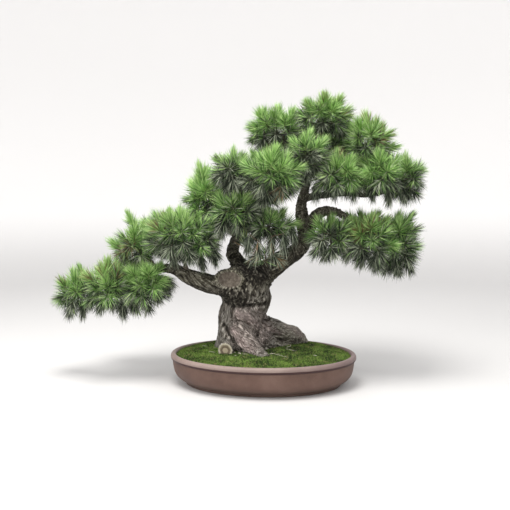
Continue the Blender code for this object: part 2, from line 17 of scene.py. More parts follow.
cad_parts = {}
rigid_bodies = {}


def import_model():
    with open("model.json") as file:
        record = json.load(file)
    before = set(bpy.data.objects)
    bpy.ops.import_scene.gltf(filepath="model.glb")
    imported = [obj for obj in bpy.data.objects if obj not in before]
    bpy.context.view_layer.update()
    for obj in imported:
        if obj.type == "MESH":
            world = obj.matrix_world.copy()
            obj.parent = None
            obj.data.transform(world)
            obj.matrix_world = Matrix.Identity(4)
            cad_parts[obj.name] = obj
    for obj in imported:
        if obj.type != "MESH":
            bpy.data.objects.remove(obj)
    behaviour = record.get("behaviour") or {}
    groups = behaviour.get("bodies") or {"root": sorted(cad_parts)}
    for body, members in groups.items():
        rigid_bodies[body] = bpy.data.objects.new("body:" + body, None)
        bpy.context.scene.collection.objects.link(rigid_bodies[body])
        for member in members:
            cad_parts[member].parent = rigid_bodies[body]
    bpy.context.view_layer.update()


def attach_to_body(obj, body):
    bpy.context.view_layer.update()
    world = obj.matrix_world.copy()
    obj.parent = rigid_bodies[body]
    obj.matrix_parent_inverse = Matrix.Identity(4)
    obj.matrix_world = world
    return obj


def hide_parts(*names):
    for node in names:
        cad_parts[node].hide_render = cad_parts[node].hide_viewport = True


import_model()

# Pot
POT_LENGTH = 0.70
POT_WIDTH = 0.53
LIP_WIDTH = 0.020
WALL = 0.014
FLOOR_THICKNESS = 0.014

# Soil
GROUND = 0.119  # its level under the trunk
SOIL_EDGE = 0.105  # its level at the pot's wall
MOUND_LENGTH = 0.46  # of the level place under the tree
MOUND_WIDTH = 0.35
MOUND_OFFSET = 0.045  # how far back the level place's middle lies

# Limbs
GAP = 0.0003
RING_STEP = 0.035  # between the rings that the plan is made with
FINE_STEP = 0.006  # between the rings that are shown
SAMPLE_STEP = 0.006  # between the points by which distances to a limb are measured
BRANCH_RADIUS = 0.012
BRANCH_SHARE = 0.6
BRANCH_TIP = 0.006
BRANCH_ARCH = 0.10
BRANCH_LEAST = 0.03
BRANCH_END = 0.72

# Stem inside a mass
STEM_STEP = 0.06
STEM_SHARE = 0.85
STEM_RADII = (0.0036, 0.0024)
STEM_BEND = 0.45
STEM_PAST = 0.35

SEED = 7
UP = Vector((0.0, 0.0, 1.0))
LEVEL = (1.0, 1.0, 0.0)  # a point or a way times this has no height
TUBE_SIDE = (0.0, 1.0, 0.2)  # the corners round a tube start on a line square to this
NOISE_SHIFT = (1.0, 1.7, 0.6)  # how far each seed moves a noise

# Each large limb: what it grows from, where along that (0 to 1), the points it passes, and its
# thickness as radii from start to tip. The start point is worked out from the parent.
LIMBS = {
    "bough_left": dict(
        parent="trunk", at=0.86,
        route=[(-0.165, 0.030, 0.364), (-0.242, 0.010, 0.380), (-0.294, 0.0, 0.403),
               (-0.341, -0.010, 0.426), (-0.430, -0.012, 0.424), (-0.500, -0.030, 0.392)],
        radii=[0.046, 0.038, 0.034, 0.028, 0.020, 0.013, 0.009]),
    "leader_lower": dict(
        parent="trunk", at=0.86,
        route=[(0.0, 0.060, 0.412), (0.062, 0.060, 0.452), (0.125, 0.060, 0.496),
               (0.163, 0.060, 0.551)],
        radii=[0.052, 0.046, 0.038, 0.032, 0.031]),
    "leader_upper": dict(
        parent="leader_lower", at=0.97,
        route=[(0.148, 0.062, 0.600), (0.141, 0.065, 0.640), (0.143, 0.070, 0.685),
               (0.157, 0.075, 0.740), (0.180, 0.078, 0.820), (0.205, 0.070, 0.905)],
        radii=[0.030, 0.028, 0.025, 0.019, 0.016, 0.013, 0.009]),
    "bough_centre": dict(
        parent="trunk", at=0.93,
        route=[(-0.114, 0.078, 0.458), (-0.126, 0.088, 0.494), (-0.108, 0.090, 0.545),
               (-0.078, 0.085, 0.605), (-0.060, 0.070, 0.665), (-0.085, 0.030, 0.725)],
        radii=[0.036, 0.030, 0.025, 0.021, 0.018, 0.014, 0.009]),
    "bough_arch": dict(
        parent="leader_lower", at=0.93,
        route=[(0.182, 0.035, 0.607), (0.208, 0.018, 0.637), (0.245, 0.008, 0.646),
               (0.290, 0.0, 0.634), (0.335, -0.010, 0.600)],
        radii=[0.028, 0.024, 0.021, 0.018, 0.014, 0.009]),
    "bough_upper_right": dict(
        parent="leader_upper", at=0.40,
        route=[(0.200, 0.066, 0.703), (0.300, 0.060, 0.712), (0.395, 0.050, 0.706),
               (0.468, 0.040, 0.722)],
        radii=[0.015, 0.014, 0.012, 0.010, 0.008]),
}

# Each mass of needles: its middle, its half sizes, and the limb and place it grows from. At 1
# its stem meets the limb's own tip, and elsewhere a branch of its own leads to it.
MASSES = {
    "low_tip": ((-0.725, -0.020, 0.332), (0.090, 0.088, 0.110), "bough_left", 0.94),
    "low_front": ((-0.580, -0.065, 0.352), (0.112, 0.108, 0.120), "bough_left", 1.0),
    "low_inner": ((-0.438, -0.054, 0.366), (0.112, 0.105, 0.112), "bough_left", 0.74),
    "low_back": ((-0.560, 0.130, 0.372), (0.140, 0.100, 0.104), "bough_left", 0.82),
    "mid_left": ((-0.484, 0.0, 0.510), (0.100, 0.104, 0.104), "bough_left", 0.78),
    "mid_inner": ((-0.295, -0.055, 0.545), (0.152, 0.118, 0.120), "bough_left", 0.52),
    "mid_back": ((-0.390, 0.150, 0.555), (0.145, 0.105, 0.110), "bough_left", 0.64),
    "upper_left": ((-0.222, 0.030, 0.676), (0.096, 0.112, 0.142), "bough_centre", 0.42),
    "centre_back": ((-0.110, 0.200, 0.640), (0.130, 0.100, 0.102), "bough_centre", 0.52),
    "centre_left": ((-0.100, -0.040, 0.640), (0.108, 0.104, 0.100), "bough_centre", 0.55),
    "centre_low": ((0.020, -0.015, 0.586), (0.124, 0.100, 0.084), "bough_centre", 0.48),
    "centre_hang": ((0.018, -0.088, 0.478), (0.082, 0.058, 0.058), "leader_lower", 0.34),
    "crown_left": ((-0.104, -0.040, 0.788), (0.100, 0.104, 0.096), "bough_centre", 1.0),
    "crown_front": ((0.045, -0.115, 0.768), (0.130, 0.112, 0.116), "bough_centre", 0.74),
    "crown_right": ((0.166, -0.070, 0.838), (0.100, 0.098, 0.104), "leader_upper", 0.58),
    "crown_back": ((-0.005, 0.190, 0.775), (0.160, 0.115, 0.122), "bough_centre", 0.84),
    "apex_left": ((0.045, 0.060, 0.945), (0.132, 0.125, 0.104), "leader_upper", 0.84),
    "apex": ((0.225, 0.050, 0.985), (0.135, 0.130, 0.102), "leader_upper", 1.0),
    "apex_right": ((0.382, 0.020, 0.896), (0.112, 0.115, 0.115), "leader_upper", 0.80),
    "apex_back": ((0.220, 0.215, 0.900), (0.165, 0.120, 0.122), "leader_upper", 0.70),
    "right_inner": ((0.276, -0.034, 0.772), (0.124, 0.120, 0.100), "bough_upper_right", 0.36),
    "right_mid": ((0.420, -0.032, 0.776), (0.102, 0.112, 0.104), "bough_upper_right", 0.70),
    "right_back": ((0.370, 0.180, 0.795), (0.155, 0.105, 0.102), "bough_upper_right", 0.55),
    "right_tip": ((0.524, 0.030, 0.764), (0.086, 0.092, 0.112), "bough_upper_right", 1.0),
    "low_right_inner": ((0.250, -0.022, 0.544), (0.100, 0.106, 0.106), "bough_arch", 0.60),
    "low_right_mid": ((0.390, -0.035, 0.534), (0.110, 0.112, 0.124), "bough_arch", 1.0),
    "low_right_back": ((0.375, 0.150, 0.560), (0.148, 0.100, 0.098), "bough_arch", 0.74),
    "low_right_tip": ((0.498, 0.020, 0.514), (0.092, 0.102, 0.136), "bough_arch", 0.88),
}

# The trunk's middle line from just below the ground, and its radius at each point
TRUNK_SPINE = [(-0.100, 0.065, GROUND - 0.03), (-0.100, 0.065, 0.135), (-0.094, 0.062, 0.195),
               (-0.075, 0.056, 0.280), (-0.070, 0.053, 0.335), (-0.064, 0.054, 0.385),
               (-0.064, 0.058, 0.432)]
TRUNK_RADII = [0.098, 0.092, 0.088, 0.088, 0.094, 0.090, 0.062]

# Each surface root: its points and radii. The last point is its tip.
ROOTS = {
    "front": ([(-0.085, 0.030, 0.200), (-0.062, -0.018, 0.150), (-0.020, -0.062, 0.126),
               (0.024, -0.116, 0.115)], [0.056, 0.048, 0.030, 0.017]),
    "right": ([(-0.050, 0.070, 0.205), (0.018, 0.085, 0.185), (0.075, 0.118, 0.158),
               (0.108, 0.143, 0.149), (0.137, 0.160, 0.129), (0.158, 0.172, 0.103)],
              [0.058, 0.047, 0.044, 0.041, 0.029, 0.016]),
    "right_low": ([(-0.038, 0.026, 0.150), (0.026, 0.076, 0.136), (0.090, 0.120, 0.118)],
                  [0.064, 0.040, 0.022]),
    "left": ([(-0.120, 0.060, 0.175), (-0.149, 0.053, 0.132), (-0.176, 0.047, 0.100)],
             [0.049, 0.032, 0.014]),
    "back_left": ([(-0.115, 0.090, 0.180), (-0.140, 0.140, 0.134), (-0.165, 0.185, 0.100)],
                  [0.052, 0.036, 0.014]),
    "back_right": ([(-0.070, 0.090, 0.180), (-0.030, 0.145, 0.136), (0.005, 0.195, 0.102)],
                   [0.052, 0.036, 0.014]),
}

# Lumps on the trunk: middle and half sizes. The collar is cut flat at the pruning scar.
LUMPS = {
    "fork": ((-0.062, 0.056, 0.388), (0.098, 0.086, 0.062)),
    "burl": ((-0.108, 0.015, 0.355), (0.066, 0.060, 0.062)),
    "collar": ((-0.113, -0.006, 0.387), (0.074, 0.050, 0.046)),
}
SCAR_NORMAL = (-0.28, -0.95, 0.14)
SCAR_DEPTH = 0.033  # from the collar's middle to the scar
CUT_ROOT = dict(start=(-0.112, 0.030, 0.138), end=(-0.131, -0.088, 0.136), radius=0.028)


def smooth_route(points, radii, step):
    """Points and radii about a step apart on a smooth curve through the given ones."""
    points = [Vector(p) for p in points]
    ends = [2 * points[0] - points[1], *points, 2 * points[-1] - points[-2]]
    route, sizes = [], []
    for i in range(len(points) - 1):
        a, b, c, d = ends[i:i + 4]
        count = max(1, round((c - b).length / step))
        for k in range(count):
            t = k / count
            route.append(0.5 * (2 * b + t * (c - a) + t * t * (2 * a - 5 * b + 4 * c - d)
                                + t ** 3 * (3 * b - a - 3 * c + d)))
            sizes.append(radii[i] + t * (radii[i + 1] - radii[i]))
    return [*route, points[-1]], [*sizes, radii[-1]]


def smooth_line(points, step):
    """The same without radii, as an array."""
    return np.array(smooth_route(points, [0.0] * len(points), step)[0])


class Limb:
    """A limb's worked-out middle line, so that others can start from it and keep clear."""

    def __init__(self, points, radii, fine_step=FINE_STEP, step=RING_STEP):
        self.points, self.radii = smooth_route(points, radii, step)
        self.fine = smooth_route(points, radii, fine_step)
        self.steps = [0.0]
        for a, b in zip(self.points, self.points[1:]):
            self.steps.append(self.steps[-1] + (b - a).length)

    def place(self, at):
        """(point, radius) at a share of the length."""
        target = at * self.steps[-1]
        for k in range(len(self.points) - 1):
            if target <= self.steps[k + 1] + 1e-9:
                t = (target - self.steps[k]) / (self.steps[k + 1] - self.steps[k])
                return (self.points[k].lerp(self.points[k + 1], t),
                        self.radii[k] + t * (self.radii[k + 1] - self.radii[k]))
        return self.points[-1], self.radii[-1]

    def dense(self):
        """Points and radii close together, as arrays."""
        count = max(2, round(self.steps[-1] / SAMPLE_STEP))
        points, radii = zip(*(self.place(k / count) for k in range(count + 1)))
        return np.array(points), np.array(radii)


def entry(centre, half, start, radius):
    """Where a branch from a limb of this radius ends: a little inside the surface of its mass."""
    towards = (start - centre).normalized()
    reach = 1.0 / math.sqrt(sum((t / h) ** 2 for t, h in zip(towards, half)))
    room = (start - centre).length - radius - BRANCH_LEAST
    return centre + towards * max(0.0, min(BRANCH_END * reach, room))


def plan_limbs():
    """Every limb as a Limb: the trunk's line, the large limbs, then a branch to each mass. And the
    name of the limb whose tip each mass's stem meets."""
    limbs = {"trunk": Limb(TRUNK_SPINE, TRUNK_RADII)}
    for name, facts in LIMBS.items():
        start, _ = limbs[facts["parent"]].place(facts["at"])
        limbs[name] = Limb([start, *facts["route"]], facts["radii"])
    tips = {}
    for name, (centre, half, parent, at) in MASSES.items():
        if at == 1.0:
            tips[name] = parent
            continue
        start, radius = limbs[parent].place(at)
        tip = entry(Vector(centre), half, start, radius)
        middle = start.lerp(tip, 0.5) + UP * BRANCH_ARCH * (tip - start).length
        thick = min(BRANCH_SHARE * radius, BRANCH_RADIUS)
        tips[name] = "branch_" + name
        limbs[tips[name]] = Limb([start, middle, tip], [thick, (thick + BRANCH_TIP) / 2, BRANCH_TIP])
    return limbs, tips


def stem_of(name, limbs, tips):
    """The stem inside a mass, from its limb's tip through the middle of the mass."""
    limb = limbs[tips[name]]
    ahead = (limb.points[-1] - limb.points[-2]).normalized()
    start = limb.points[-1] + ahead * GAP
    thickest = STEM_SHARE * limb.radii[-1]
    centre = Vector(MASSES[name][0])
    past = centre + (centre - start) * STEM_PAST
    bend = start + ahead * STEM_BEND * (centre - start).length
    return Limb([start, bend, centre, past], [thickest, STEM_SHARE * thickest, *STEM_RADII],
                2 * FINE_STEP, STEM_STEP)


class Space:
    """The room that one mass keeps to: its own oval, up to halfway to each neighbour."""

    def __init__(self, name):
        self.centre, self.half = (np.array(row) for row in MASSES[name][:2])
        self.planes = []
        for other, (far, far_half, _, _) in MASSES.items():
            if other == name:
                continue
            apart = np.array(far) - self.centre
            distance = np.linalg.norm(apart)
            apart /= distance
            mine = 1 / np.linalg.norm(apart / self.half)
            theirs = 1 / np.linalg.norm(apart / np.array(far_half))
            self.planes.append((apart, distance * mine / (mine + theirs)))

    def holds(self, point):
        """Whether a point lies in the room."""
        from_centre = point - self.centre
        return (np.linalg.norm(from_centre / self.half) <= 1.0
                and all(from_centre @ normal <= limit for normal, limit in self.planes))


def clear_of_limbs(points, margin, lines, thick):
    """Which points keep this far from the surface of every limb."""
    apart = np.linalg.norm(np.atleast_2d(points)[:, None] - lines[None], axis=2) - thick[None]
    return apart.min(axis=1) > margin


class Pile:
    """Closed shapes gathered as arrays of corners and triangles, to be made one mesh."""

    def __init__(self):
        self.points, self.triangles, self.count = [], [], 0

    def add(self, points, triangles):
        self.points.append(np.asarray(points, float).reshape(-1, 3))
        self.triangles.append(np.asarray(triangles, np.int64).reshape(-1, 3) + self.count)
        self.count += len(self.points[-1])

    def made(self, name, looks):
        return mesh_object(name, np.concatenate(self.points), np.concatenate(self.triangles),
                           looks, smooth=True)


def mesh_object(name, points, triangles, looks, kinds=None, smooth=False):
    """A mesh made from arrays. kinds is the number of each triangle's look."""
    mesh = bpy.data.meshes.new(name)
    mesh.vertices.add(len(points))
    mesh.vertices.foreach_set("co", np.asarray(points, np.float32).ravel())
    mesh.loops.add(3 * len(triangles))
    mesh.loops.foreach_set("vertex_index", np.asarray(triangles, np.int32).ravel())
    mesh.polygons.add(len(triangles))
    mesh.polygons.foreach_set("loop_start", 3 * np.arange(len(triangles), dtype=np.int32))
    for look in looks:
        mesh.materials.append(look)
    if kinds is not None:
        mesh.polygons.foreach_set("material_index", np.asarray(kinds, np.int32))
    mesh.polygons.foreach_set("use_smooth", np.full(len(triangles), smooth))
    mesh.update(calc_edges=True)
    obj = bpy.data.objects.new(name, mesh)
    bpy.context.scene.collection.objects.link(obj)
    return obj


def keep(obj, name, values):
    """Keeps a number or a place for each vertex, for the object's look to read."""
    kind, key = ("FLOAT_VECTOR", "vector") if values.ndim == 2 else ("FLOAT", "value")
    field = obj.data.attributes.new(name, kind, "POINT")
    field.data.foreach_set(key, values.astype(np.float32).ravel())


def vertex_rows(mesh, key):
    """The places or normals of a mesh's vertices."""
    rows = np.empty(3 * len(mesh.vertices), np.float32)
    mesh.vertices.foreach_get(key, rows)
    return rows.reshape(-1, 3).astype(float)


def walls(rings, sides):
    """Triangles between rings of this many corners, one ring after another."""
    a = np.arange((rings - 1) * sides).reshape(-1, sides)
    b = np.roll(a, -1, axis=1).ravel()
    a = a.ravel()
    return np.stack([a, b, b + sides, a, b + sides, a + sides], 1).reshape(-1, 3)


def tube(points, radii, sides, lobes=()):
    """Corners and triangles of a closed tube. Each lobe has a height, a count round the tube, a
    twist from ring to ring and a start."""
    points = np.array(points, float)
    count = len(points)
    verts = []
    side = np.array(TUBE_SIDE)
    angles = math.tau * np.arange(sides) / sides
    for k in range(count):
        ahead = points[min(k + 1, count - 1)] - points[max(k - 1, 0)]
        ahead /= np.linalg.norm(ahead)
        if k == 0:
            side = np.cross(ahead, side)
        side = side - ahead * (side @ ahead)
        side /= np.linalg.norm(side)
        other = np.cross(ahead, side)
        waves = (height * np.sin(round_it * angles + twist * k + start)
                 for height, round_it, twist, start in lobes)
        reach = radii[k] * sum(waves, 1.0) * np.ones(sides)
        spokes = np.outer(np.cos(angles), side) + np.outer(np.sin(angles), other)
        verts.append(points[k] + reach[:, None] * spokes)
    fan = np.arange(1, sides - 1)
    start = np.stack([np.zeros_like(fan), fan + 1, fan], 1)
    end = np.stack([np.zeros_like(fan), fan, fan + 1], 1) + (count - 1) * sides
    return np.concatenate(verts), np.concatenate([walls(count, sides), start, end])


def smooth_step(low, high, values):
    """0 below low, 1 above high, and a smooth rise between them."""
    t = np.clip((values - low) / (high - low), 0.0, 1.0)
    return t * t * (3 - 2 * t)


def unit(rows):
    """Each row made 1 long."""
    return rows / np.maximum(np.linalg.norm(rows, axis=-1, keepdims=True), 1e-12)


def between(pair, share):
    """The value at a share of the way from the first of a pair to the second."""
    return pair[0] + (pair[1] - pair[0]) * share


def noise_at(points, scale, seed=0.0):
    """Smooth noise from -1 to 1 at each point."""
    shift = Vector([seed * s for s in NOISE_SHIFT])
    return np.array([noise.noise(Vector(p) * scale + shift) for p in points])


def layered(points, layers, start=0.0):
    """Noises added up, each with its share, scale and seed."""
    return sum((share * noise_at(points, scale, seed) for share, scale, seed in layers), start)


def within(points, middle, half, fade):
    """1 inside an oval, fading to 0 between these two shares of its half sizes."""
    return 1 - smooth_step(*fade, np.linalg.norm((points - np.array(middle)) / half, axis=1))


class Look:
    """A material and the nodes that give it its finish."""

    def __init__(self, name, roughness, specular=0.3):
        self.material = bpy.data.materials.new(name)
        self.material.use_nodes = True
        self.tree = self.material.node_tree
        self.shader = self.tree.nodes["Principled BSDF"].inputs
        self.shader["Roughness"].default_value = roughness
        self.shader["Specular IOR Level"].default_value = specular

    def link(self, value, socket):
        """Feeds a socket from another one, or sets it to a number or colour."""
        if isinstance(value, bpy.types.NodeSocket):
            self.tree.links.new(value, socket)
        else:
            socket.default_value = value

    def node(self, kind, **sockets):
        """A new node, with its sockets fed or set."""
        node = self.tree.nodes.new("ShaderNode" + kind)
        for name, value in sockets.items():
            self.link(value, node.inputs[name.replace("_", " ")])
        return node

    def place(self):
        return self.node("TexCoord").outputs["Object"]

    def along(self, axis):
        return self.node("SeparateXYZ", Vector=self.place()).outputs[axis]

    def noise(self, scale, detail=3.0, roughness=0.55, where=None):
        return self.node("TexNoise", Scale=scale, Detail=detail, Roughness=roughness,
                         Vector=where or self.place()).outputs["Fac"]

    def value(self, name, output="Fac"):
        """What the mesh keeps for each vertex under this name."""
        node = self.node("Attribute")
        node.attribute_name = name
        return node.outputs[output]

    def math(self, kind, a, b=0.0):
        node = self.node("Math")
        node.operation = kind
        self.link(a, node.inputs[0])
        self.link(b, node.inputs[1])
        return node.outputs[0]

    def times(self, a, b):
        return self.math("MULTIPLY", a, b)

    def sum(self, first, *others):
        for other in others:
            first = self.math("ADD", first, other)
        return first

    def range(self, value, low, high, to_low=0.0, to_high=1.0):
        node = self.node("MapRange", Value=value, From_Min=low, From_Max=high,
                         To_Min=to_low, To_Max=to_high)
        node.interpolation_type = "SMOOTHSTEP"
        return node.outputs["Result"]

    def ramp(self, value, stops):
        node = self.node("ValToRGB", Fac=value)
        elements = node.color_ramp.elements
        while len(elements) < len(stops):
            elements.new(0.5)
        for element, (position, colour) in zip(elements, stops):
            element.position = position
            element.color = (*colour, 1.0)
        return node.outputs["Color"]

    def mix(self, share, a, b):
        node = self.node("Mix")
        node.data_type = "RGBA"
        self.link(share, node.inputs["Factor"])
        for value, socket in ((a, node.inputs[6]), (b, node.inputs[7])):
            self.link((*value, 1.0) if isinstance(value, tuple) else value, socket)
        return node.outputs[2]

    def colour(self, value):
        self.link(value, self.shader["Base Color"])

    def bump(self, height, distance, strength=1.0):
        node = self.node("Bump", Strength=strength, Distance=distance, Height=height)
        self.link(node.outputs["Normal"], self.shader["Normal"])


def plain(name, colour, roughness):
    """A material of one colour."""
    look = Look(name, roughness)
    look.colour((*colour, 1.0))
    return look.material


# Needles. Each one stands for a close pair and is a sliver of four faces.
NEEDLE = 0.054
NEEDLE_RANGE = (0.78, 1.16)  # shares of NEEDLE
NEEDLE_LEAST = 0.50  # a needle that is cut shorter than this share is left out
NEEDLE_HALF_WIDTH = 0.00142
NEEDLE_THICKNESS = 0.0013
NEEDLE_WIDEST = 0.35  # where it is widest, as a share of its length
NEEDLE_REACH = (1.02, 1.20)  # where needles end, as shares of the oval of their mass
NEEDLE_TESTED = (0.4, 1.0)  # the places along a needle that have to be clear of limbs
NEEDLE_OUT = 0.001  # from the middle of its shoot
NEEDLE_STRAY = 0.10
NEEDLE_CLOSING = 0.8  # below 1, needles close in sooner on the way to a shoot's tip
NEEDLE_FACES = ((0, 1, 3), (0, 3, 2), (0, 2, 1), (1, 2, 3))

# Shoots, from those at the top of a mass to those underneath
SHOOT_NEEDLES = (156, 104)
SHOOT_COUNTS = (0.8, 1.2)  # shares of that count
SHOOT_SIZES = (0.88, 1.12)
SHOOT_OPEN = (1.25, 1.60)  # angle of the needles at the tail of a shoot, in radians
SHOOT_CLOSE = (0.10, 0.36)  # and at its tip
SHOOT_DROOP = (-0.12, 0.50)
SHOOT_LIFT = (0.60, -0.20)
SHOOT_PULL = 0.7  # how much a shoot follows the twig that bears it
SHOOT_STRAY = 0.2
SHOOT_LENGTH = 0.036
SHOOT_INSET = 0.040  # how far inside the surface of its mass a shoot ends
SHOOT_RANGE = (0.76, 1.14)  # shares of the distance from the middle of the mass
SHOOT_SHELLS = ((1.0, 0.049), (0.62, 0.052), (0.28, 0.056))  # share of that distance, spacing
SHOOT_TRIES = 460
SHOOT_ROOM = 0.008  # between a shoot and any limb
SIDE_GUIDE = (0.31, 0.87, 0.24)  # angles round a shoot are taken from a line square to this

# Shoots that stand out on their own in the photograph, hang in front of a limb, or close a gap
# seen from above. For each mass: the place of the bud, the way it points, and how low on a mass
# it looks.
LONE_SHOOTS = {
    "mid_left": [((-0.507, 0.0, 0.616), (-0.45, 0.0, 0.9), 0.1),
                 ((-0.562, 0.0, 0.515), (-0.8, 0.0, 0.6), 0.3)],
    "upper_left": [((-0.234, 0.0, 0.786), (-0.2, 0.0, 1.0), 0.1)],
    "low_tip": [((-0.705, 0.0, 0.405), (-0.3, 0.0, 1.0), 0.15),
                ((-0.69, -0.03, 0.262), (0.0, -0.1, -1.0), 1.0),
                ((-0.661, -0.03, 0.3), (0.1, -0.1, -1.0), 1.0)],
    "low_front": [((-0.522, -0.06, 0.272), (0.1, -0.1, -1.0), 1.0)],
    "low_inner": [((-0.472, -0.06, 0.288), (0.35, -0.1, -0.9), 1.0),
                  ((-0.49, -0.05, 0.3), (-0.1, -0.1, -1.0), 1.0),
                  ((-0.352, -0.04, 0.388), (0.8, -0.1, -0.35), 0.85),
                  ((-0.362, -0.03, 0.35), (0.6, -0.1, -0.8), 0.95)],
    "mid_inner": [((-0.222, -0.05, 0.455), (0.2, -0.1, -1.0), 1.0),
                  ((-0.176, -0.05, 0.47), (0.4, -0.1, -0.9), 1.0),
                  ((-0.181, -0.05, 0.528), (0.9, -0.1, -0.3), 0.7),
                  ((-0.172, -0.05, 0.5), (0.7, -0.1, -0.7), 0.9)],
    "centre_left": [((-0.145, -0.06, 0.576), (-0.2, -0.1, -1.0), 0.9)],
    "crown_front": [((0.04, -0.06, 0.69), (0.8, -0.1, -0.5), 0.9)],
    "crown_back": [((0.1, 0.135, 0.8), (0.6, -0.3, 0.7), 0.25),
                   ((0.105, 0.16, 0.745), (0.8, -0.1, 0.4), 0.45),
                   ((0.06, 0.115, 0.82), (0.3, -0.5, 0.8), 0.2),
                   ((0.04, 0.085, 0.77), (0.2, -0.8, 0.4), 0.5)],
    "apex_back": [((0.12, 0.15, 0.85), (-0.6, -0.3, 0.5), 0.35),
                  ((0.155, 0.15, 0.82), (-0.4, -0.4, 0.3), 0.5)],
    "centre_low": [((-0.062, -0.06, 0.545), (-0.1, -0.2, 0.9), 0.25),
                   ((0.115, -0.06, 0.56), (0.3, -0.3, -1.0), 1.0)],
    "centre_hang": [((-0.045, -0.1, 0.528), (-0.1, -0.3, -1.0), 1.0),
                    ((-0.01, -0.1, 0.505), (0.0, -0.3, -1.0), 1.0),
                    ((0.04, -0.1, 0.52), (0.0, -0.3, -1.0), 1.0),
                    ((0.084, -0.1, 0.53), (0.1, -0.3, -1.0), 1.0)],
    "right_inner": [((0.196, -0.03, 0.715), (-0.1, -0.2, -1.0), 1.0),
                    ((0.262, -0.04, 0.712), (0.0, -0.2, -1.0), 1.0),
                    ((0.33, -0.04, 0.715), (0.1, -0.2, -1.0), 1.0)],
    "right_mid": [((0.4, -0.03, 0.708), (0.0, -0.2, -1.0), 1.0)],
    "right_tip": [((0.458, -0.02, 0.695), (-0.1, -0.1, -1.0), 1.0),
                  ((0.512, 0.0, 0.705), (0.1, -0.1, -1.0), 1.0),
                  ((0.562, 0.02, 0.79), (1.0, 0.0, 0.2), 0.3)],
    "apex_right": [((0.47, 0.02, 0.88), (0.9, 0.0, 0.3), 0.5)],
    "low_right_tip": [((0.545, 0.0, 0.578), (0.9, 0.0, 0.45), 0.5),
                      ((0.532, 0.0, 0.618), (0.65, 0.0, 0.75), 0.35),
                      ((0.488, -0.02, 0.45), (0.1, -0.1, -1.0), 1.0)],
    "low_right_mid": [((0.416, -0.02, 0.46), (0.0, -0.1, -1.0), 1.0),
                      ((0.305, -0.04, 0.5), (-0.1, -0.1, -1.0), 1.0)],
}
LONE_OPEN = 0.62  # share of the usual angle of its needles
LONE_REACH = 0.42  # how far past its bud its needles may go, as a share of the oval
HANGING = {"centre_hang": 0.9}  # masses whose shoots all hang

# Twigs
TWIG_RADII = (0.0021, 0.0012)
TWIG_SHARE = 0.85  # its radius at most, as a share of the radius of its parent
TWIG_TAPER = 0.7
TWIG_SIDES = 5
TWIG_STEP = 0.014
TWIG_BACK = 0.35  # how much a twig prefers to leave its parent forwards
TWIG_BEND = 0.45  # where it bends, as a share of the way to its shoot
TWIG_ARC = 0.10  # how far it runs on along its parent, as a share of its length

# Colours dealt to needles: four of painted light for the sunny side, four of painted shade for the
# shaded side, and dry ones
TINTS = {
    "leaf": (0.074, 0.152, 0.042),
    "mid": (0.172, 0.325, 0.088),
    "fresh": (0.305, 0.505, 0.150),
    "bright": (0.470, 0.650, 0.260),
    "deep": (0.018, 0.024, 0.016),
    "shade": (0.060, 0.078, 0.050),
    "grey": (0.165, 0.195, 0.135),
    "pale": (0.400, 0.440, 0.325),
    "dry": (0.190, 0.120, 0.062),
}
PALETTE = 4  # colours on each side
NEEDLE_ROUGHNESS = 0.55
SUNNY_MIDDLE, SUNNY_SPREAD = 1.44, 1.25
SHADED_MIDDLE, SHADED_SPREAD = 1.08, 1.70
BRIGHT_BY_HEIGHT = 1.4  # how much painted light brightens the tops of masses
BRIGHT_FROM = 0.42  # shoots that look lower than this are duller, with painted shade
SUN_BY_HEIGHT = 1.25
SUN_BY_PATCH = 0.5
SUN_BY_SHOOT = 0.38
SUN_BY_NEEDLE = 0.50
SUN_LEAST = 0.05
# How much painted shade dulls the masses under others
OVERHUNG = {"low_right_inner": 0.15, "low_right_mid": 0.15, "low_right_tip": 0.15,
            "crown_right": 0.20, "centre_low": 0.30, "centre_left": 0.15, "mid_inner": 0.10}
TINT_ALONG = 0.9
TINT_INSIDE = 1.6  # how much painted shade darkens the middle of a mass
INSIDE_FROM = 0.62  # shoots further out than this share of the oval aren't darker
PATCH_NOISE = (14.0, 3.1)  # scale and seed
DRY_NOISE = (9.0, 8.4)
DRY_FROM = 0.30
DRY_SHARE = 0.16
BATCH = 2000  # needles tested at once


def spiral(number):
    """The angle of each step round a spiral whose steps never line up."""
    return number * math.pi * (3 - math.sqrt(5))


def shoot_places(space, lines, thick, rng):
    """Where the shoots of a mass end: spread by a spiral on ovals inside one another."""
    places = []
    rim = space.half - SHOOT_INSET
    for shell, apart in SHOOT_SHELLS:
        turn = rng.random() * math.tau
        for k in range(SHOOT_TRIES):
            z = 1 - (2 * k + 1) / SHOOT_TRIES
            across = math.sqrt(1 - z * z)
            angle = turn + spiral(k)
            way = np.array([across * math.cos(angle), across * math.sin(angle), z])
            point = space.centre + way * rim * shell * rng.uniform(*SHOOT_RANGE)
            if any(np.linalg.norm(point - p) < apart for p in places):
                continue
            if space.holds(point) and clear_of_limbs(point, SHOOT_ROOM, lines, thick)[0]:
                places.append(point)
    return places


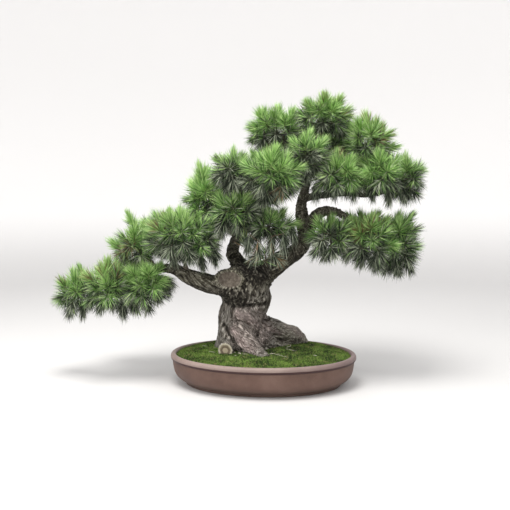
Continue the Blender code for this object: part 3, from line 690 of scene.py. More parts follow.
class Wood:
    """The stem of a mass and the twigs that have grown on it so far."""

    def __init__(self, stem):
        points, radii = stem.dense()
        self.points, self.radii = points[2:], radii[2:]
        self.ways = unit(np.gradient(self.points, axis=0))

    def best(self, target):
        """The place where a twig towards the target leaves this wood."""
        apart = target - self.points
        far = np.linalg.norm(apart, axis=1)
        ahead = np.einsum("ij,ij->i", apart, self.ways)
        return int((far - TWIG_BACK * ahead).argmin())

    def twig(self, k, start, tip, twigs):
        """Grows a twig from place k to the start of a shoot and on to its tip."""
        attach = self.points[k]
        length = np.linalg.norm(start - attach)
        bend = attach + TWIG_BEND * (start - attach) + TWIG_ARC * length * self.ways[k]
        thick, thin = min(TWIG_RADII[0], TWIG_SHARE * self.radii[k]), TWIG_RADII[1]
        sizes = [thick, between((thick, thin), 0.5), thin, TWIG_TAPER * thin]
        route, radii = smooth_route((attach, bend, start, tip), sizes, TWIG_STEP)
        twigs.add(*tube(route, radii, TWIG_SIDES))
        points = np.array(route)
        self.points = np.concatenate([self.points, points[1:]])
        self.radii = np.concatenate([self.radii, radii[1:]])
        self.ways = np.concatenate([self.ways, unit(np.gradient(points, axis=0))[1:]])


def grow(name, limbs, tips, lines, thick, twigs):
    """The room of a mass, and its shoots as an array for each fact. Their twigs join the pile."""
    rng = random.Random(SEED + list(MASSES).index(name))
    space = Space(name)
    wood = Wood(stem_of(name, limbs, tips))
    stem = wood.points
    places = [(place, None, None) for place in shoot_places(space, lines, thick, rng)]
    places += [(np.array(place), unit(np.array(way)), low)
               for place, way, low in LONE_SHOOTS.get(name, [])]
    places.sort(key=lambda entry: np.linalg.norm(stem - entry[0], axis=1).min())
    shoots = []
    for place, given, height in places:
        k = wood.best(place)
        out = (place - space.centre) / space.half
        rim = np.linalg.norm(out)
        out /= rim
        low = HANGING.get(name, 0.5 - 0.5 * out[2]) if height is None else height
        axis = out + SHOOT_PULL * unit(place - wood.points[k]) + between(SHOOT_LIFT, low) * np.array(UP)
        axis += np.array([rng.uniform(-SHOOT_STRAY, SHOOT_STRAY) for _ in range(3)])
        axis = unit(axis) if given is None else given
        reach, spread = (1.0, 1.0) if given is None else (rim + LONE_REACH, LONE_OPEN)
        start = place - axis * SHOOT_LENGTH
        wood.twig(k, start, place, twigs)
        shoots.append(dict(start=start, axis=axis, low=low, rim=rim, reach=reach, spread=spread,
                           overhung=OVERHUNG.get(name, 0.0)))
    return space, {key: np.array([shoot[key] for shoot in shoots]) for key in shoots[0]}


def needle_lines(shoots, rng):
    """Root, way and length of every needle of a mass, how far along its shoot, and which shoot."""
    low, axis = shoots["low"], shoots["axis"]
    counts = (between(SHOOT_NEEDLES, low) * rng.uniform(*SHOOT_COUNTS, len(low))).astype(int)
    size = rng.uniform(*SHOOT_SIZES, len(low))
    owner = np.repeat(np.arange(len(low)), counts)
    number = np.concatenate([np.arange(c) for c in counts])
    share = (number + 0.5) / counts[owner]
    side = unit(np.cross(axis, SIDE_GUIDE))
    other = np.cross(axis, side)
    angle = rng.uniform(0, math.tau, len(low))[owner] + spiral(number)
    below = low[owner]
    opening = between((between(SHOOT_OPEN, below), between(SHOOT_CLOSE, below)),
                      share ** NEEDLE_CLOSING)
    opening = opening * shoots["spread"][owner] + rng.normal(0, NEEDLE_STRAY, len(owner))
    radial = np.cos(angle)[:, None] * side[owner] + np.sin(angle)[:, None] * other[owner]
    way = np.cos(opening)[:, None] * axis[owner] + np.sin(opening)[:, None] * radial
    way[:, 2] -= between(SHOOT_DROOP, below)
    root = shoots["start"][owner] + axis[owner] * (share * SHOOT_LENGTH)[:, None] + NEEDLE_OUT * radial
    length = NEEDLE * size[owner] * rng.uniform(*NEEDLE_RANGE, len(owner))
    return root, unit(way), length, share, owner


def fitted(space, root, way, length, limit, lines, thick):
    """The length of each needle up to where it leaves the room of its mass, and which are kept."""
    from_middle = (root - space.centre) / space.half
    step = way / space.half
    a = (step ** 2).sum(1)
    b = 2 * (from_middle * step).sum(1)
    c = (from_middle ** 2).sum(1) - limit ** 2
    room = (-b + np.sqrt(np.maximum(b * b - 4 * a * c, 0.0))) / (2 * a)
    whole = np.minimum(length, room)
    kept = (c < 0) & (whole > NEEDLE_LEAST * NEEDLE)

    # A needle that would run into a limb is left out
    reach = np.linalg.norm(lines - space.centre, axis=1) - thick < space.half.max() + NEEDLE
    if reach.any():
        near, wide = lines[reach], thick[reach]
        for part in NEEDLE_TESTED:
            points = root + way * (part * whole)[:, None]
            for first in range(0, len(points), BATCH):
                batch = slice(first, first + BATCH)
                kept[batch] &= clear_of_limbs(points[batch], 0.0, near, wide)
    return whole, kept


def needle_corners(space, shoots, lines, thick, seed):
    """The corners of every needle of a mass, four to a needle, and each one's tint."""
    rng = np.random.default_rng(seed)
    root, way, length, share, owner = needle_lines(shoots, rng)
    limit = rng.uniform(*NEEDLE_REACH, len(owner)) * shoots["reach"][owner]
    whole, kept = fitted(space, root, way, length, limit, lines, thick)
    root, way, whole, share, owner = (x[kept] for x in (root, way, whole, share, owner))
    flat = unit(np.cross(way, rng.normal(0, 1, way.shape)))
    middle = root + way * (NEEDLE_WIDEST * whole)[:, None] + np.cross(way, flat) * NEEDLE_THICKNESS
    corners = np.stack([root, middle + flat * NEEDLE_HALF_WIDTH,
                        middle - flat * NEEDLE_HALF_WIDTH, root + way * whole[:, None]], axis=1)
    return corners, tints_of(shoots, owner, share, rng)


def tints_of(shoots, owner, share, rng):
    """Painted light: sunny colours for shoots high on a mass, and painted shade below, each in its own
    mix.
    """
    low, tips, overhung = shoots["low"], shoots["start"], shoots["overhung"]
    count = len(owner)
    sun = SUN_BY_HEIGHT * (1 - 2 * low) + SUN_BY_PATCH * noise_at(tips, *PATCH_NOISE) - overhung
    sun = sun + rng.normal(0, SUN_BY_SHOOT, len(low))
    sunny = sun[owner] + rng.normal(0, SUN_BY_NEEDLE, count) > SUN_LEAST
    inside = TINT_INSIDE * np.clip(1.0 - shoots["rim"] / INSIDE_FROM, 0.0, 1.0)
    along = TINT_ALONG * (share - 0.5) - inside[owner]
    bright = rng.normal(SUNNY_MIDDLE, SUNNY_SPREAD, count) + along
    bright += BRIGHT_BY_HEIGHT * (BRIGHT_FROM - low[owner]) - overhung[owner]
    dull = rng.normal(SHADED_MIDDLE, SHADED_SPREAD, count) + along
    tint = np.where(sunny, np.clip(np.round(bright), 0, PALETTE - 1),
                    PALETTE + np.clip(np.round(dull), 0, PALETTE - 1))
    dry = noise_at(tips, *DRY_NOISE) > DRY_FROM
    tint[dry[owner] & (rng.random(count) < DRY_SHARE)] = 2 * PALETTE
    return tint.astype(int)


def slivers(name, corners, faces, looks, tints):
    """A piece of many slivers of four corners and four faces."""
    triangles = (4 * np.arange(len(corners))[:, None, None] + np.array(faces)).reshape(-1, 3)
    return mesh_object(name, corners.reshape(-1, 3), triangles, looks, np.repeat(tints, 4))


def foliage(limbs, tips):
    """A piece of needles for each mass. Gives back the pile of their twigs."""
    lines, thick = (np.concatenate(rows) for rows in zip(*(limb.dense() for limb in limbs.values())))
    looks = [plain("needles_" + key, colour, NEEDLE_ROUGHNESS) for key, colour in TINTS.items()]
    twigs = Pile()
    for number, name in enumerate(MASSES):
        space, shoots = grow(name, limbs, tips, lines, thick, twigs)
        corners, tints = needle_corners(space, shoots, lines, thick, SEED + number)
        piece = slivers("foliage_" + name, corners, NEEDLE_FACES, looks, tints)
        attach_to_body(piece, "root")
        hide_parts("needles_" + name)
    return twigs


# Bark
VOXEL = 0.0028
FOOT = GROUND - 0.007  # where the trunk's shown mesh is cut, just inside the moss
BURIED = GROUND - 0.003  # below this the bark has no relief
SMOOTHED, SMOOTHING = 2, 0.5  # how often the skin is smoothed, and how much each time
TRUNK_SIDES = 40
LIMB_SIDES = 28
ROOT_SIDES = 24
BRANCH_SIDES = 7
CUT_ROOT_STEPS = 10
LUMP_FINENESS = 5
SWELL = ((0.05, 3, 0.30, 0.4), (0.03, 5, -0.17, 0.0))  # how trunk and limbs stray from round
KNOBS = ((0.10, 2, 1.3, 0.0), (0.08, 3, -0.9, 0.0))  # and branches
BLEND = 0.010  # over how much distance the grain turns from one limb to the next
GRAIN_BATCH = 3000  # points of the skin worked on at once
PLATE_SHARE = 0.20  # spacing of plates, as a share of the limb's radius
PLATE_RANGE = (0.0080, 0.0170)
PLATE_STRETCH = 5.0  # length of a plate over its width
PLATE_NEAREST = 14  # plates looked at from each point
PLATE_HEIGHT = 0.0034  # on the trunk
PLATE_DOME = 0.75  # how much higher the middle of a plate stands than its edge
PLATE_STEP = 0.55  # how much plates differ in height
DOME = (0.02, 0.75)  # distances from a crack, in spacings, over which a plate rises
CREVICE = (0.03, 0.34)  # and over which its crack fades
RIDGE_HEIGHT = 0.0064
RIDGES = ((1.0, 42.0, 0.0), (0.5, 95.0, 2.0))  # share, scale and seed of each noise
FINE_HEIGHT = 0.0011
FINE_NOISE = (260.0, 5.0)
FINE_DRAWN = 0.6
THIN_RELIEF = 0.46  # share of the relief that the thinnest limbs keep
THIN_RADIUS, TRUNK_RADIUS = 0.015, 0.09  # radii between which the relief grows to the whole

# The Y of a point's normal where what belongs to the front sets in, and where it shows in full
FRONT = (0.25, -0.25)
SHADE_FRONT = (0.05, -0.35)
SLANT_FRONT = (0.35, -0.15)

# On the front of the low trunk the bark runs slanting, down to the right and out onto the roots
SLANT = dict(middle=(-0.040, -0.03, 0.205), half=(0.100, 0.16, 0.092), fade=(0.65, 1.05))
SLANT_WAY = np.array([0.84, -0.10, -0.54])
SLANT_WARMTH = 0.55
GRAIN_FROM = (-0.07, 0.05, 0.27)  # the point round which streaks are drawn out
STREAKS = ((0.62, 62.0, 11.0), (0.50, 150.0, 11.0))  # share, scale and seed of each noise
STREAK_MIDDLE = 0.5
STREAK_DRAWN = 0.93  # how much of the distance along the grain is taken out
# Round the burl and right of the scar the bark is mottled instead, with dark holes and pale flecks;
# the darkness in the holes is painted shade
MOTTLE = dict(middle=(-0.070, -0.02, 0.352), half=(0.094, 0.14, 0.060), fade=(0.75, 1.10))
MOTTLE_DRAWN = 0.42  # how much less of that distance is taken out there
HOLE_NOISE, FLECK_NOISE = (78.0, 14.0), (120.0, 17.0)  # scale and seed
HOLE_FROM, FLECK_FROM = (0.08, 0.32), (0.10, 0.32)  # values of the noise that they rise between
HOLE_DEPTH, FLECK_HEIGHT = 0.0034, 0.0020
# painted shade in the holes, and how much paler the flecks are
HOLE_DARK, FLECK_LIGHT = 0.95, 0.75
GREEN = (0.285, 0.400)  # heights between which the bark turns darker and greener

# The pruning scar and the cut root: half sizes of their faces, how far before and behind a face
# its wood shows, how far it is dished, how high bark rolls over its rim, and how close its rings
# are
SCAR = dict(sizes=(0.050, 0.0315), depth=0.010, dish=0.0022, roll=0.0042, rings=26.0)
STUB = dict(sizes=(0.028, 0.028), depth=0.006, dish=0.0020, roll=0.0012, rings=14.0)
RING_HEIGHT = 0.0003
RING_REACH = 1.3  # how far out rings are worked out, as a share of the half sizes
RING_WOBBLE = 0.05
RING_NOISE = (60.0, 9.0)
FACE_EDGE = (0.86, 0.97)  # the shares of the half sizes between which bare wood ends
RIM_MIDDLE, RIM_WIDTH = 1.04, 0.10
FACE_FLAT = 0.93  # how much of the bark's relief a cut face takes away
RIM_FLAT, RIM_WHOLE = 0.7, 0.8  # how much of relief and shade, and of cracks, its rim takes away

# Creases and streaks seen on the trunk: the points each passes, half width, how far it stands out,
# how much darker (below 0) or paler it makes the bark, and how much pinker. The darkening is painted
# shade in the creases, under the burl and under the right root; the paler streaks are partly the
# bark's own tone and partly painted highlight
STROKES = [
    ([(-0.158, -0.01, 0.303), (-0.114, -0.03, 0.291), (-0.064, -0.03, 0.292),
      (-0.010, -0.02, 0.293), (0.012, 0.0, 0.300)], 0.0065, -0.0085, -1.0, 0.0),
    ([(-0.158, -0.02, 0.326), (-0.120, -0.03, 0.310), (-0.072, -0.03, 0.304)],
     0.0120, -0.0020, -0.9, 0.0),
    ([(-0.150, -0.01, 0.338), (-0.112, -0.04, 0.328), (-0.068, -0.04, 0.330)],
     0.0200, 0.0070, -0.45, 0.0),
    ([(-0.066, -0.05, 0.375), (-0.050, -0.04, 0.352), (-0.030, -0.03, 0.330)],
     0.0050, -0.0040, -0.9, 0.0),
    ([(-0.048, -0.04, 0.392), (-0.034, -0.03, 0.372), (-0.012, -0.02, 0.352)],
     0.0050, -0.0040, -0.9, 0.0),
    ([(-0.058, -0.05, 0.366), (-0.042, -0.04, 0.346), (-0.030, -0.03, 0.322)],
     0.0035, 0.0030, 0.7, 0.0),
    ([(-0.076, -0.05, 0.352), (-0.058, -0.04, 0.334), (-0.046, -0.04, 0.318)],
     0.0035, 0.0030, 0.6, 0.0),
    ([(-0.019, -0.025, 0.254), (0.003, -0.01, 0.249), (0.023, 0.0, 0.243)],
     0.0040, -0.0060, -0.8, 0.0),
    ([(-0.086, -0.03, 0.233), (-0.054, -0.03, 0.226), (-0.023, -0.03, 0.222),
      (0.0, -0.02, 0.212)], 0.0038, -0.0055, -0.75, 0.0),
    ([(-0.147, -0.01, 0.216), (-0.133, -0.02, 0.194), (-0.124, -0.03, 0.178),
      (-0.108, -0.03, 0.163), (-0.091, -0.03, 0.146), (-0.074, -0.05, 0.130)],
     0.0075, -0.0085, -0.95, 0.0),
    ([(-0.096, -0.03, 0.262), (-0.057, -0.03, 0.243), (-0.027, -0.03, 0.228),
      (0.0, -0.02, 0.207), (0.030, 0.02, 0.193), (0.062, 0.04, 0.175)],
     0.0100, 0.0040, 0.25, 0.9),
    ([(-0.112, -0.02, 0.196), (-0.080, -0.04, 0.168), (-0.050, -0.06, 0.140),
      (-0.012, -0.08, 0.118)], 0.0140, 0.0020, 0.35, 0.8),
    ([(-0.092, -0.03, 0.280), (-0.086, -0.03, 0.262), (-0.060, -0.03, 0.252)],
     0.0140, 0.0015, 0.15, 0.7),
    ([(-0.085, -0.04, 0.172), (-0.062, -0.04, 0.168), (-0.035, -0.04, 0.174)],
     0.0060, 0.0030, 0.75, 0.2),
    ([(-0.012, -0.03, 0.164), (0.012, -0.02, 0.164)], 0.0050, 0.0030, 0.75, 0.1),
    ([(0.024, 0.03, 0.366), (0.025, 0.03, 0.330), (0.021, 0.03, 0.296)],
     0.0060, -0.0020, -0.6, 0.0),
    ([(-0.020, -0.03, 0.345), (-0.015, -0.03, 0.315)], 0.0075, 0.0025, 0.35, 0.0),
    ([(0.095, 0.11, 0.205), (0.125, 0.13, 0.185), (0.140, 0.14, 0.160)],
     0.0200, 0.0, 0.0, 0.7),
    ([(0.055, 0.07, 0.150), (0.095, 0.10, 0.148), (0.135, 0.13, 0.136)],
     0.0080, -0.0050, -0.9, 0.0),
]
STROKE_DEPTH = 0.35  # how much of the distance from front to back counts
STROKE_STEP = 0.4  # between the points that stand for a stroke, as a share of its half width

# Painted shade where the fork and the burl are overhung, darker bark on the lower leader, and paler
# and greener bark on the right root, partly its own colour and partly painted light on its top, and
# on the left side of the trunk: middle and half sizes, how much darker (below 0) and how much greener
SHADES = [
    ((-0.020, 0.0, 0.415), (0.058, 0.09, 0.044), -0.80, 0.0),
    ((-0.060, 0.0, 0.455), (0.060, 0.08, 0.040), -0.75, 0.0),
    ((-0.105, -0.04, 0.322), (0.060, 0.06, 0.026), -0.50, 0.0),
    ((0.100, 0.0, 0.450), (0.090, 0.10, 0.060), -0.22, 0.0),
    ((0.015, 0.0, 0.338), (0.040, 0.08, 0.046), 0.22, 0.3),
    ((0.100, 0.13, 0.165), (0.100, 0.12, 0.070), 0.62, 0.6),
    ((-0.140, -0.01, 0.215), (0.040, 0.08, 0.080), 0.24, 0.0),
    ((-0.040, -0.03, 0.245), (0.070, 0.08, 0.050), 0.30, 0.0),
]
SHADE_FADE = (0.5, 1.25)
UNDER_DARK = 0.35  # how much darker painted shade makes the undersides
UNDER = (0.2, 0.9)  # how far down their normals point


def lump(name, middle, half):
    """Corners and triangles of a lump on the trunk, cut flat if it bears the scar."""
    middle, facing = Vector(middle), Vector(SCAR_NORMAL).normalized()
    bm = bmesh.new()
    bmesh.ops.create_icosphere(bm, subdivisions=LUMP_FINENESS, radius=1.0)
    for v in bm.verts:
        v.co = middle + Vector([c * h for c, h in zip(v.co, half)])
        depth = (v.co - middle).dot(facing)
        if name == "collar" and depth > SCAR_DEPTH:
            v.co -= facing * (depth - SCAR_DEPTH)
    bmesh.ops.triangulate(bm, faces=bm.faces)
    shape = [v.co[:] for v in bm.verts], [[v.index for v in f.verts] for f in bm.faces]
    bm.free()
    return shape


def skinned(body):
    """Joins the shapes of a mesh under one skin, cuts it flat at the foot and smooths it."""
    skin = body.modifiers.new("skin", "REMESH")
    skin.mode = "VOXEL"
    skin.voxel_size = VOXEL
    graph = bpy.context.evaluated_depsgraph_get()
    mesh = bpy.data.meshes.new_from_object(body.evaluated_get(graph))
    body.modifiers.clear()
    bm = bmesh.new()
    bm.from_mesh(mesh)
    bmesh.ops.bisect_plane(bm, geom=[*bm.verts, *bm.edges, *bm.faces], plane_co=(0.0, 0.0, FOOT),
                           plane_no=UP, clear_inner=True)
    bmesh.ops.holes_fill(bm, edges=[e for e in bm.edges if e.is_boundary], sides=0)
    for _ in range(SMOOTHED):
        loose = [v for v in bm.verts if v.co.z > GROUND]
        bmesh.ops.smooth_vert(bm, verts=loose, factor=SMOOTHING, use_axis_x=True,
                              use_axis_y=True, use_axis_z=True)
    bmesh.ops.triangulate(bm, faces=bm.faces)
    bm.to_mesh(mesh)
    bm.free()
    body.data = mesh


def joined_body(limbs):
    """The trunk, roots, lumps and large limbs as one closed skin, and the grain that they give."""
    pile = Pile()
    grain = []

    def limb(points, radii, sides, lobes=()):
        pile.add(*tube(points, radii, sides, lobes))
        places = np.array(points)
        grain.append((places, unit(np.gradient(places, axis=0)), np.array(radii)))

    limb(*limbs["trunk"].fine, TRUNK_SIDES, SWELL)
    for points, radii in ROOTS.values():
        limb(*smooth_route(points, radii, FINE_STEP), ROOT_SIDES)
    for name in LIMBS:
        limb(*limbs[name].fine, LIMB_SIDES, SWELL)
    start, end = Vector(CUT_ROOT["start"]), Vector(CUT_ROOT["end"])
    steps = [start.lerp(end, k / CUT_ROOT_STEPS) for k in range(CUT_ROOT_STEPS + 1)]
    limb(steps, [CUT_ROOT["radius"]] * len(steps), LIMB_SIDES)
    for name, (middle, half) in LUMPS.items():
        pile.add(*lump(name, middle, half))
    body = pile.made("bark", [])
    skinned(body)
    return body, [np.concatenate(part) for part in zip(*grain)]


def grain_at(points, grain):
    """The direction of the grain and the limb's radius at each point of the skin."""
    places, ways, radii = grain
    flows, sizes = [], []
    for first in range(0, len(points), GRAIN_BATCH):
        here = points[first:first + GRAIN_BATCH]
        apart = np.linalg.norm(here[:, None] - places[None], axis=2) - radii[None]
        nearest = apart.argmin(axis=1)
        weight = np.exp(-(apart - apart.min(axis=1, keepdims=True)) / BLEND)
        weight *= 1.0 / weight.sum(axis=1, keepdims=True)
        sign = np.sign(ways[nearest] @ ways.T)
        flows.append(unit((weight * sign) @ ways))
        sizes.append(weight @ radii)
    return np.concatenate(flows), np.concatenate(sizes)


def plates(points, flow, size, rng):
    """For each point: how far it is from the nearest crack, and its own plate's number."""
    spacing = np.clip(PLATE_SHARE * size, *PLATE_RANGE)
    density = 1.0 / spacing ** 2
    share = VOXEL ** 2 * density.sum()
    chosen = rng.choice(len(points), int(share), replace=False, p=density / density.sum())
    tree = KDTree(len(chosen))
    for k, v in enumerate(chosen):
        tree.insert(points[v], k)
    tree.balance()
    found = np.array([[hit[1] for hit in tree.find_n(p, PLATE_NEAREST)] for p in points])
    apart = points[chosen][found] - points[:, None]
    along = (apart * flow[:, None]).sum(2)
    far = np.sqrt(np.maximum((apart ** 2).sum(2) - (1 - PLATE_STRETCH ** -2) * along ** 2, 0.0))
    order = np.argsort(far, axis=1)
    first, second = order[:, 0], order[:, 1]
    rows = np.arange(len(points))
    edge = (far[rows, second] - far[rows, first]) / spacing
    return edge, rng.random(len(chosen))[found[rows, first]]


def stroke_share(points, route, width):
    """How close each point lies to a route: 1 on it, fading to 0 at about twice its half width."""
    squash = np.array([1.0, STROKE_DEPTH, 1.0])
    near = np.full(len(points), np.inf)
    for place in smooth_line(route, STROKE_STEP * width):
        near = np.minimum(near, (((points - place) * squash) ** 2).sum(1))
    return np.exp(-near / width ** 2)


class Skin:
    """The points of the bark: how far each is lifted, and the numbers that its look reads."""

    def __init__(self, points, normals, grain):
        self.points, self.normals = points, normals
        self.front = smooth_step(*FRONT, normals[:, 1])
        self.slanted = within(points, **SLANT) * smooth_step(*SLANT_FRONT, normals[:, 1])
        flow, size = grain_at(points, grain)
        flow = self.slanting(flow)
        edge, self.plate = plates(points, flow, size, np.random.default_rng(SEED))
        from_middle = points - np.array(GRAIN_FROM)
        along = (from_middle * flow).sum(1, keepdims=True) * flow
        mottled = within(points, **MOTTLE) * self.front
        self.drawn = from_middle - (STREAK_DRAWN - MOTTLE_DRAWN * mottled)[:, None] * along
        self.streak = layered(self.drawn, STREAKS, STREAK_MIDDLE)
        self.crevice = 1.0 - smooth_step(*CREVICE, edge)
        self.ring = np.zeros(len(points))

        amount = THIN_RELIEF + (1 - THIN_RELIEF) * smooth_step(THIN_RADIUS, TRUNK_RADIUS, size)
        bulge = PLATE_DOME * smooth_step(*DOME, edge) + PLATE_STEP * (self.plate - 0.5) - 0.5
        self.lift = amount * (RIDGE_HEIGHT * layered(self.drawn, RIDGES) + PLATE_HEIGHT * bulge)
        self.lift += FINE_HEIGHT * noise_at(points - FINE_DRAWN * along, *FINE_NOISE) * amount
        holes = mottled * smooth_step(*HOLE_FROM, noise_at(self.drawn, *HOLE_NOISE))
        flecks = mottled * smooth_step(*FLECK_FROM, noise_at(self.drawn, *FLECK_NOISE))
        self.lift += FLECK_HEIGHT * flecks - HOLE_DEPTH * holes
        # painted shade in the holes, and paler flecks
        self.shade = FLECK_LIGHT * flecks - HOLE_DARK * holes
        self.warm = SLANT_WARMTH * self.slanted
        self.green = smooth_step(*GREEN, points[:, 2])

    def slanting(self, flow):
        """The grain, turned to run slanting on the front of the low trunk."""
        sign = np.where(flow @ SLANT_WAY < 0, -1.0, 1.0)[:, None]
        across = SLANT_WAY - (self.normals @ SLANT_WAY)[:, None] * self.normals
        share = self.slanted[:, None]
        return unit(flow * (1 - share) + sign * unit(across) * share)

    def add_strokes(self):
        for route, width, push, dark, pink in STROKES:
            share = stroke_share(self.points, route, width) * self.front
            self.lift += push * share
            # below 0 this is painted shade in creases, under the burl and under the right root
            self.shade += dark * share
            self.warm += pink * share

    def add_shades(self):
        facing_us = smooth_step(*SHADE_FRONT, self.normals[:, 1])
        for middle, half, dark, greener in SHADES:
            share = within(self.points, middle, half, SHADE_FADE)
            # darker patches, painted shade, go only on bark that faces the front
            if dark < 0:
                share *= facing_us
            self.shade += dark * share
            self.green = np.maximum(self.green, greener * share)
        # painted shade on the undersides
        self.shade -= UNDER_DARK * smooth_step(*UNDER, -self.normals[:, 2])

    def add_cut(self, centre, facing, sizes, depth, dish, roll, rings):
        """Bare wood with rings, and bark that rolls over its rim. Gives back where it is bare."""
        facing = np.array(facing.normalized())
        across = unit(np.cross(UP, facing))
        offset = self.points - np.array(centre)
        ratio = np.hypot(offset @ across / sizes[0], offset @ np.cross(facing, across) / sizes[1])
        near = np.abs(offset @ facing) < depth
        wobble = ratio + RING_WOBBLE * noise_at(self.points, *RING_NOISE)
        bare = near * (1 - smooth_step(*FACE_EDGE, wobble))
        rim = near * np.exp(-((wobble - RIM_MIDDLE) / RIM_WIDTH) ** 2)
        self.lift *= 1 - FACE_FLAT * np.maximum(bare, RIM_FLAT * rim)
        self.lift += roll * rim - dish * bare * (1 - ratio ** 2)
        self.lift += RING_HEIGHT * bare * np.sin(rings * wobble)
        self.crevice *= 1 - np.maximum(bare, RIM_WHOLE * rim)
        self.shade *= 1 - np.maximum(bare, RIM_FLAT * rim)
        self.warm *= 1 - bare
        self.ring = np.where(near & (ratio < RING_REACH), wobble, self.ring)
        return bare


def bark(limbs, look):
    """The trunk and large limbs with plates, cracks, ridges, the scar and the cut root."""
    body, grain = joined_body(limbs)
    mesh = body.data
    skin = Skin(vertex_rows(mesh, "co"), vertex_rows(mesh, "normal"), grain)
    skin.add_strokes()
    skin.add_shades()
    facing = Vector(SCAR_NORMAL).normalized()
    cut = skin.add_cut(Vector(LUMPS["collar"][0]) + facing * SCAR_DEPTH, facing, **SCAR)
    facing = (Vector(CUT_ROOT["end"]) - Vector(CUT_ROOT["start"])).normalized()
    stub = skin.add_cut(CUT_ROOT["end"], facing, **STUB)
    skin.lift[skin.points[:, 2] < BURIED] = 0.0
    points = skin.points + skin.normals * skin.lift[:, None]
    mesh.vertices.foreach_set("co", points.astype(np.float32).ravel())
    for name, values in (("crevice", skin.crevice), ("plate", skin.plate), ("streak", skin.streak),
                         ("warm", np.clip(skin.warm, 0, 1)), ("shade", np.clip(skin.shade, -1, 1)),
                         ("green", skin.green * (1 - cut)), ("cut", cut), ("stub", stub),
                         ("ring", skin.ring), ("drawn", skin.drawn)):
        keep(body, name, values)
    mesh.materials.clear()
    mesh.materials.append(look)
    mesh.polygons.foreach_set("use_smooth", np.ones(len(mesh.polygons), bool))
    mesh.update()
    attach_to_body(body, "root")
    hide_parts("trunk", *LIMBS)


def branches(limbs, tips, look, twig_look, twigs):
    """The branches to the masses and their stems as one piece, and the twigs as another."""
    pile = Pile()
    own = [name for name in limbs if name.startswith("branch_")]
    shown = [limbs[name] for name in own] + [stem_of(name, limbs, tips) for name in MASSES]
    for limb in shown:
        pile.add(*tube(*limb.fine, BRANCH_SIDES, KNOBS))
    piece = pile.made("branches", [look])
    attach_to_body(piece, "root")
    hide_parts(*own)
    small = twigs.made("twigs", [twig_look])
    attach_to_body(small, "root")


# Outside of the pot as (inset from its outline, height): foot, wall and rolled lip
POT_FOOT = [(0.0595, 0.0), (0.0565, 0.0008), (0.0550, 0.0040), (0.0545, 0.0100)]
POT_WALL = [(0.0460, 0.0140), (0.0340, 0.0210), (0.0238, 0.0300), (0.0168, 0.0405),
            (0.0120, 0.0530), (0.0088, 0.0700), (0.0070, 0.0880)]
POT_LIP = [(0.0074, 0.0914), (0.0060, 0.0926), (0.0034, 0.0938), (0.0014, 0.0962), (0.0003, 0.1000),
           (0.0, 0.1035), (0.0008, 0.1080), (0.0028, 0.1118), (0.0062, 0.1142), (0.0100, 0.1150),
           (0.0142, 0.1147), (0.0175, 0.1132), (0.0194, 0.1102)]
POT_SEGMENTS = 160
POT_STEP, INSIDE_STEP = 0.004, 0.006  # between the rings of its wall and of its inside
POT_WAVE = 0.0006  # how far the hand-made pot strays from true
POT_STRAY = ((1.0, 9.0, 4.0), (0.4, 40.0, 6.0))  # share, scale and seed of each noise
POT_INWARD = 0.8  # how far inwards it strays on the whole, as a share of that
POT_TRUE = (0.004, 0.02)  # heights between which the straying sets in

# Moss
MOSS_SEGMENTS = 320
MOSS_RINGS_LEVEL = 34
MOSS_RINGS_SLOPE = 22
MOSS_FALL = 0.6  # share of its fall that is even, the rest steepens towards the pot
MOSS_EDGE_DIP = 0.0035  # the gap between moss and lip
MOSS_EDGE = (0.93, 1.0)  # shares of the slope between which it opens
MOSS_FADE = (0.75, 0.50, 0.25, 0.0)  # of the relief on the last rings
# Heights of the relief, and the share, scale and seed of its noise
MOSS_SWELL, SWELL_NOISE = 0.0030, ((0.5, 38.0, 1.0),)
MOSS_TUFT, TUFT_NOISE = 0.0016, ((0.5, 120.0, 2.0),)

# Blades of moss. Each is a thin spike of four faces.
BLADES = 42000
BLADE_HEIGHT = (0.0034, 0.0084)
BLADE_ROOT = 0.0006  # how deep a blade starts under the moss
BLADE_HALF_WIDTH = 0.0009
BLADE_WIDTHS = (0.7, 1.3)  # shares of that
BLADE_LEAN = 0.55
BLADE_FOOT = ((1.0, 0.0), (-0.5, 0.87), (-0.5, -0.87))  # the three corners that it stands on
BLADE_FACES = ((0, 2, 1), (0, 1, 3), (1, 2, 3), (2, 0, 3))
MOSS_TINTS = {
    "moss_deep": (0.010, 0.018, 0.005),
    "moss_mid": (0.062, 0.113, 0.018),
    "moss_fresh": (0.172, 0.272, 0.050),
    "moss_dry": (0.290, 0.245, 0.105),
}
MOSS_ROUGHNESS = 0.7
TINT_MIDDLE, TINT_BY_PATCH, TINT_BY_BLADE = 1.20, 1.6, 0.7
MOSS_PATCHES = ((1.0, 22.0, 8.0), (0.7, 70.0, 3.0), (1.0, 150.0, 5.0))  # share, scale, seed
MOSS_SHADE = 0.6  # how much darker painted shade makes the moss beside the trunk
SHADED_MOSS = dict(middle=(0.02, 0.07, 0.0), half=(0.19, 0.14, 1.0), fade=(0.6, 1.2))
DRY_MOSS, DRY_PATCH = 0.03, 0.25  # share of dry blades everywhere, and how many more in patches
DRY_MOSS_NOISE = (55.0, 12.0)
DRY_MOSS_FROM = (0.25, 0.5)  # values of the noise that they rise between
DRY_SQUASH = (0.5, 1.0, 1.0)  # this draws dry patches out sideways

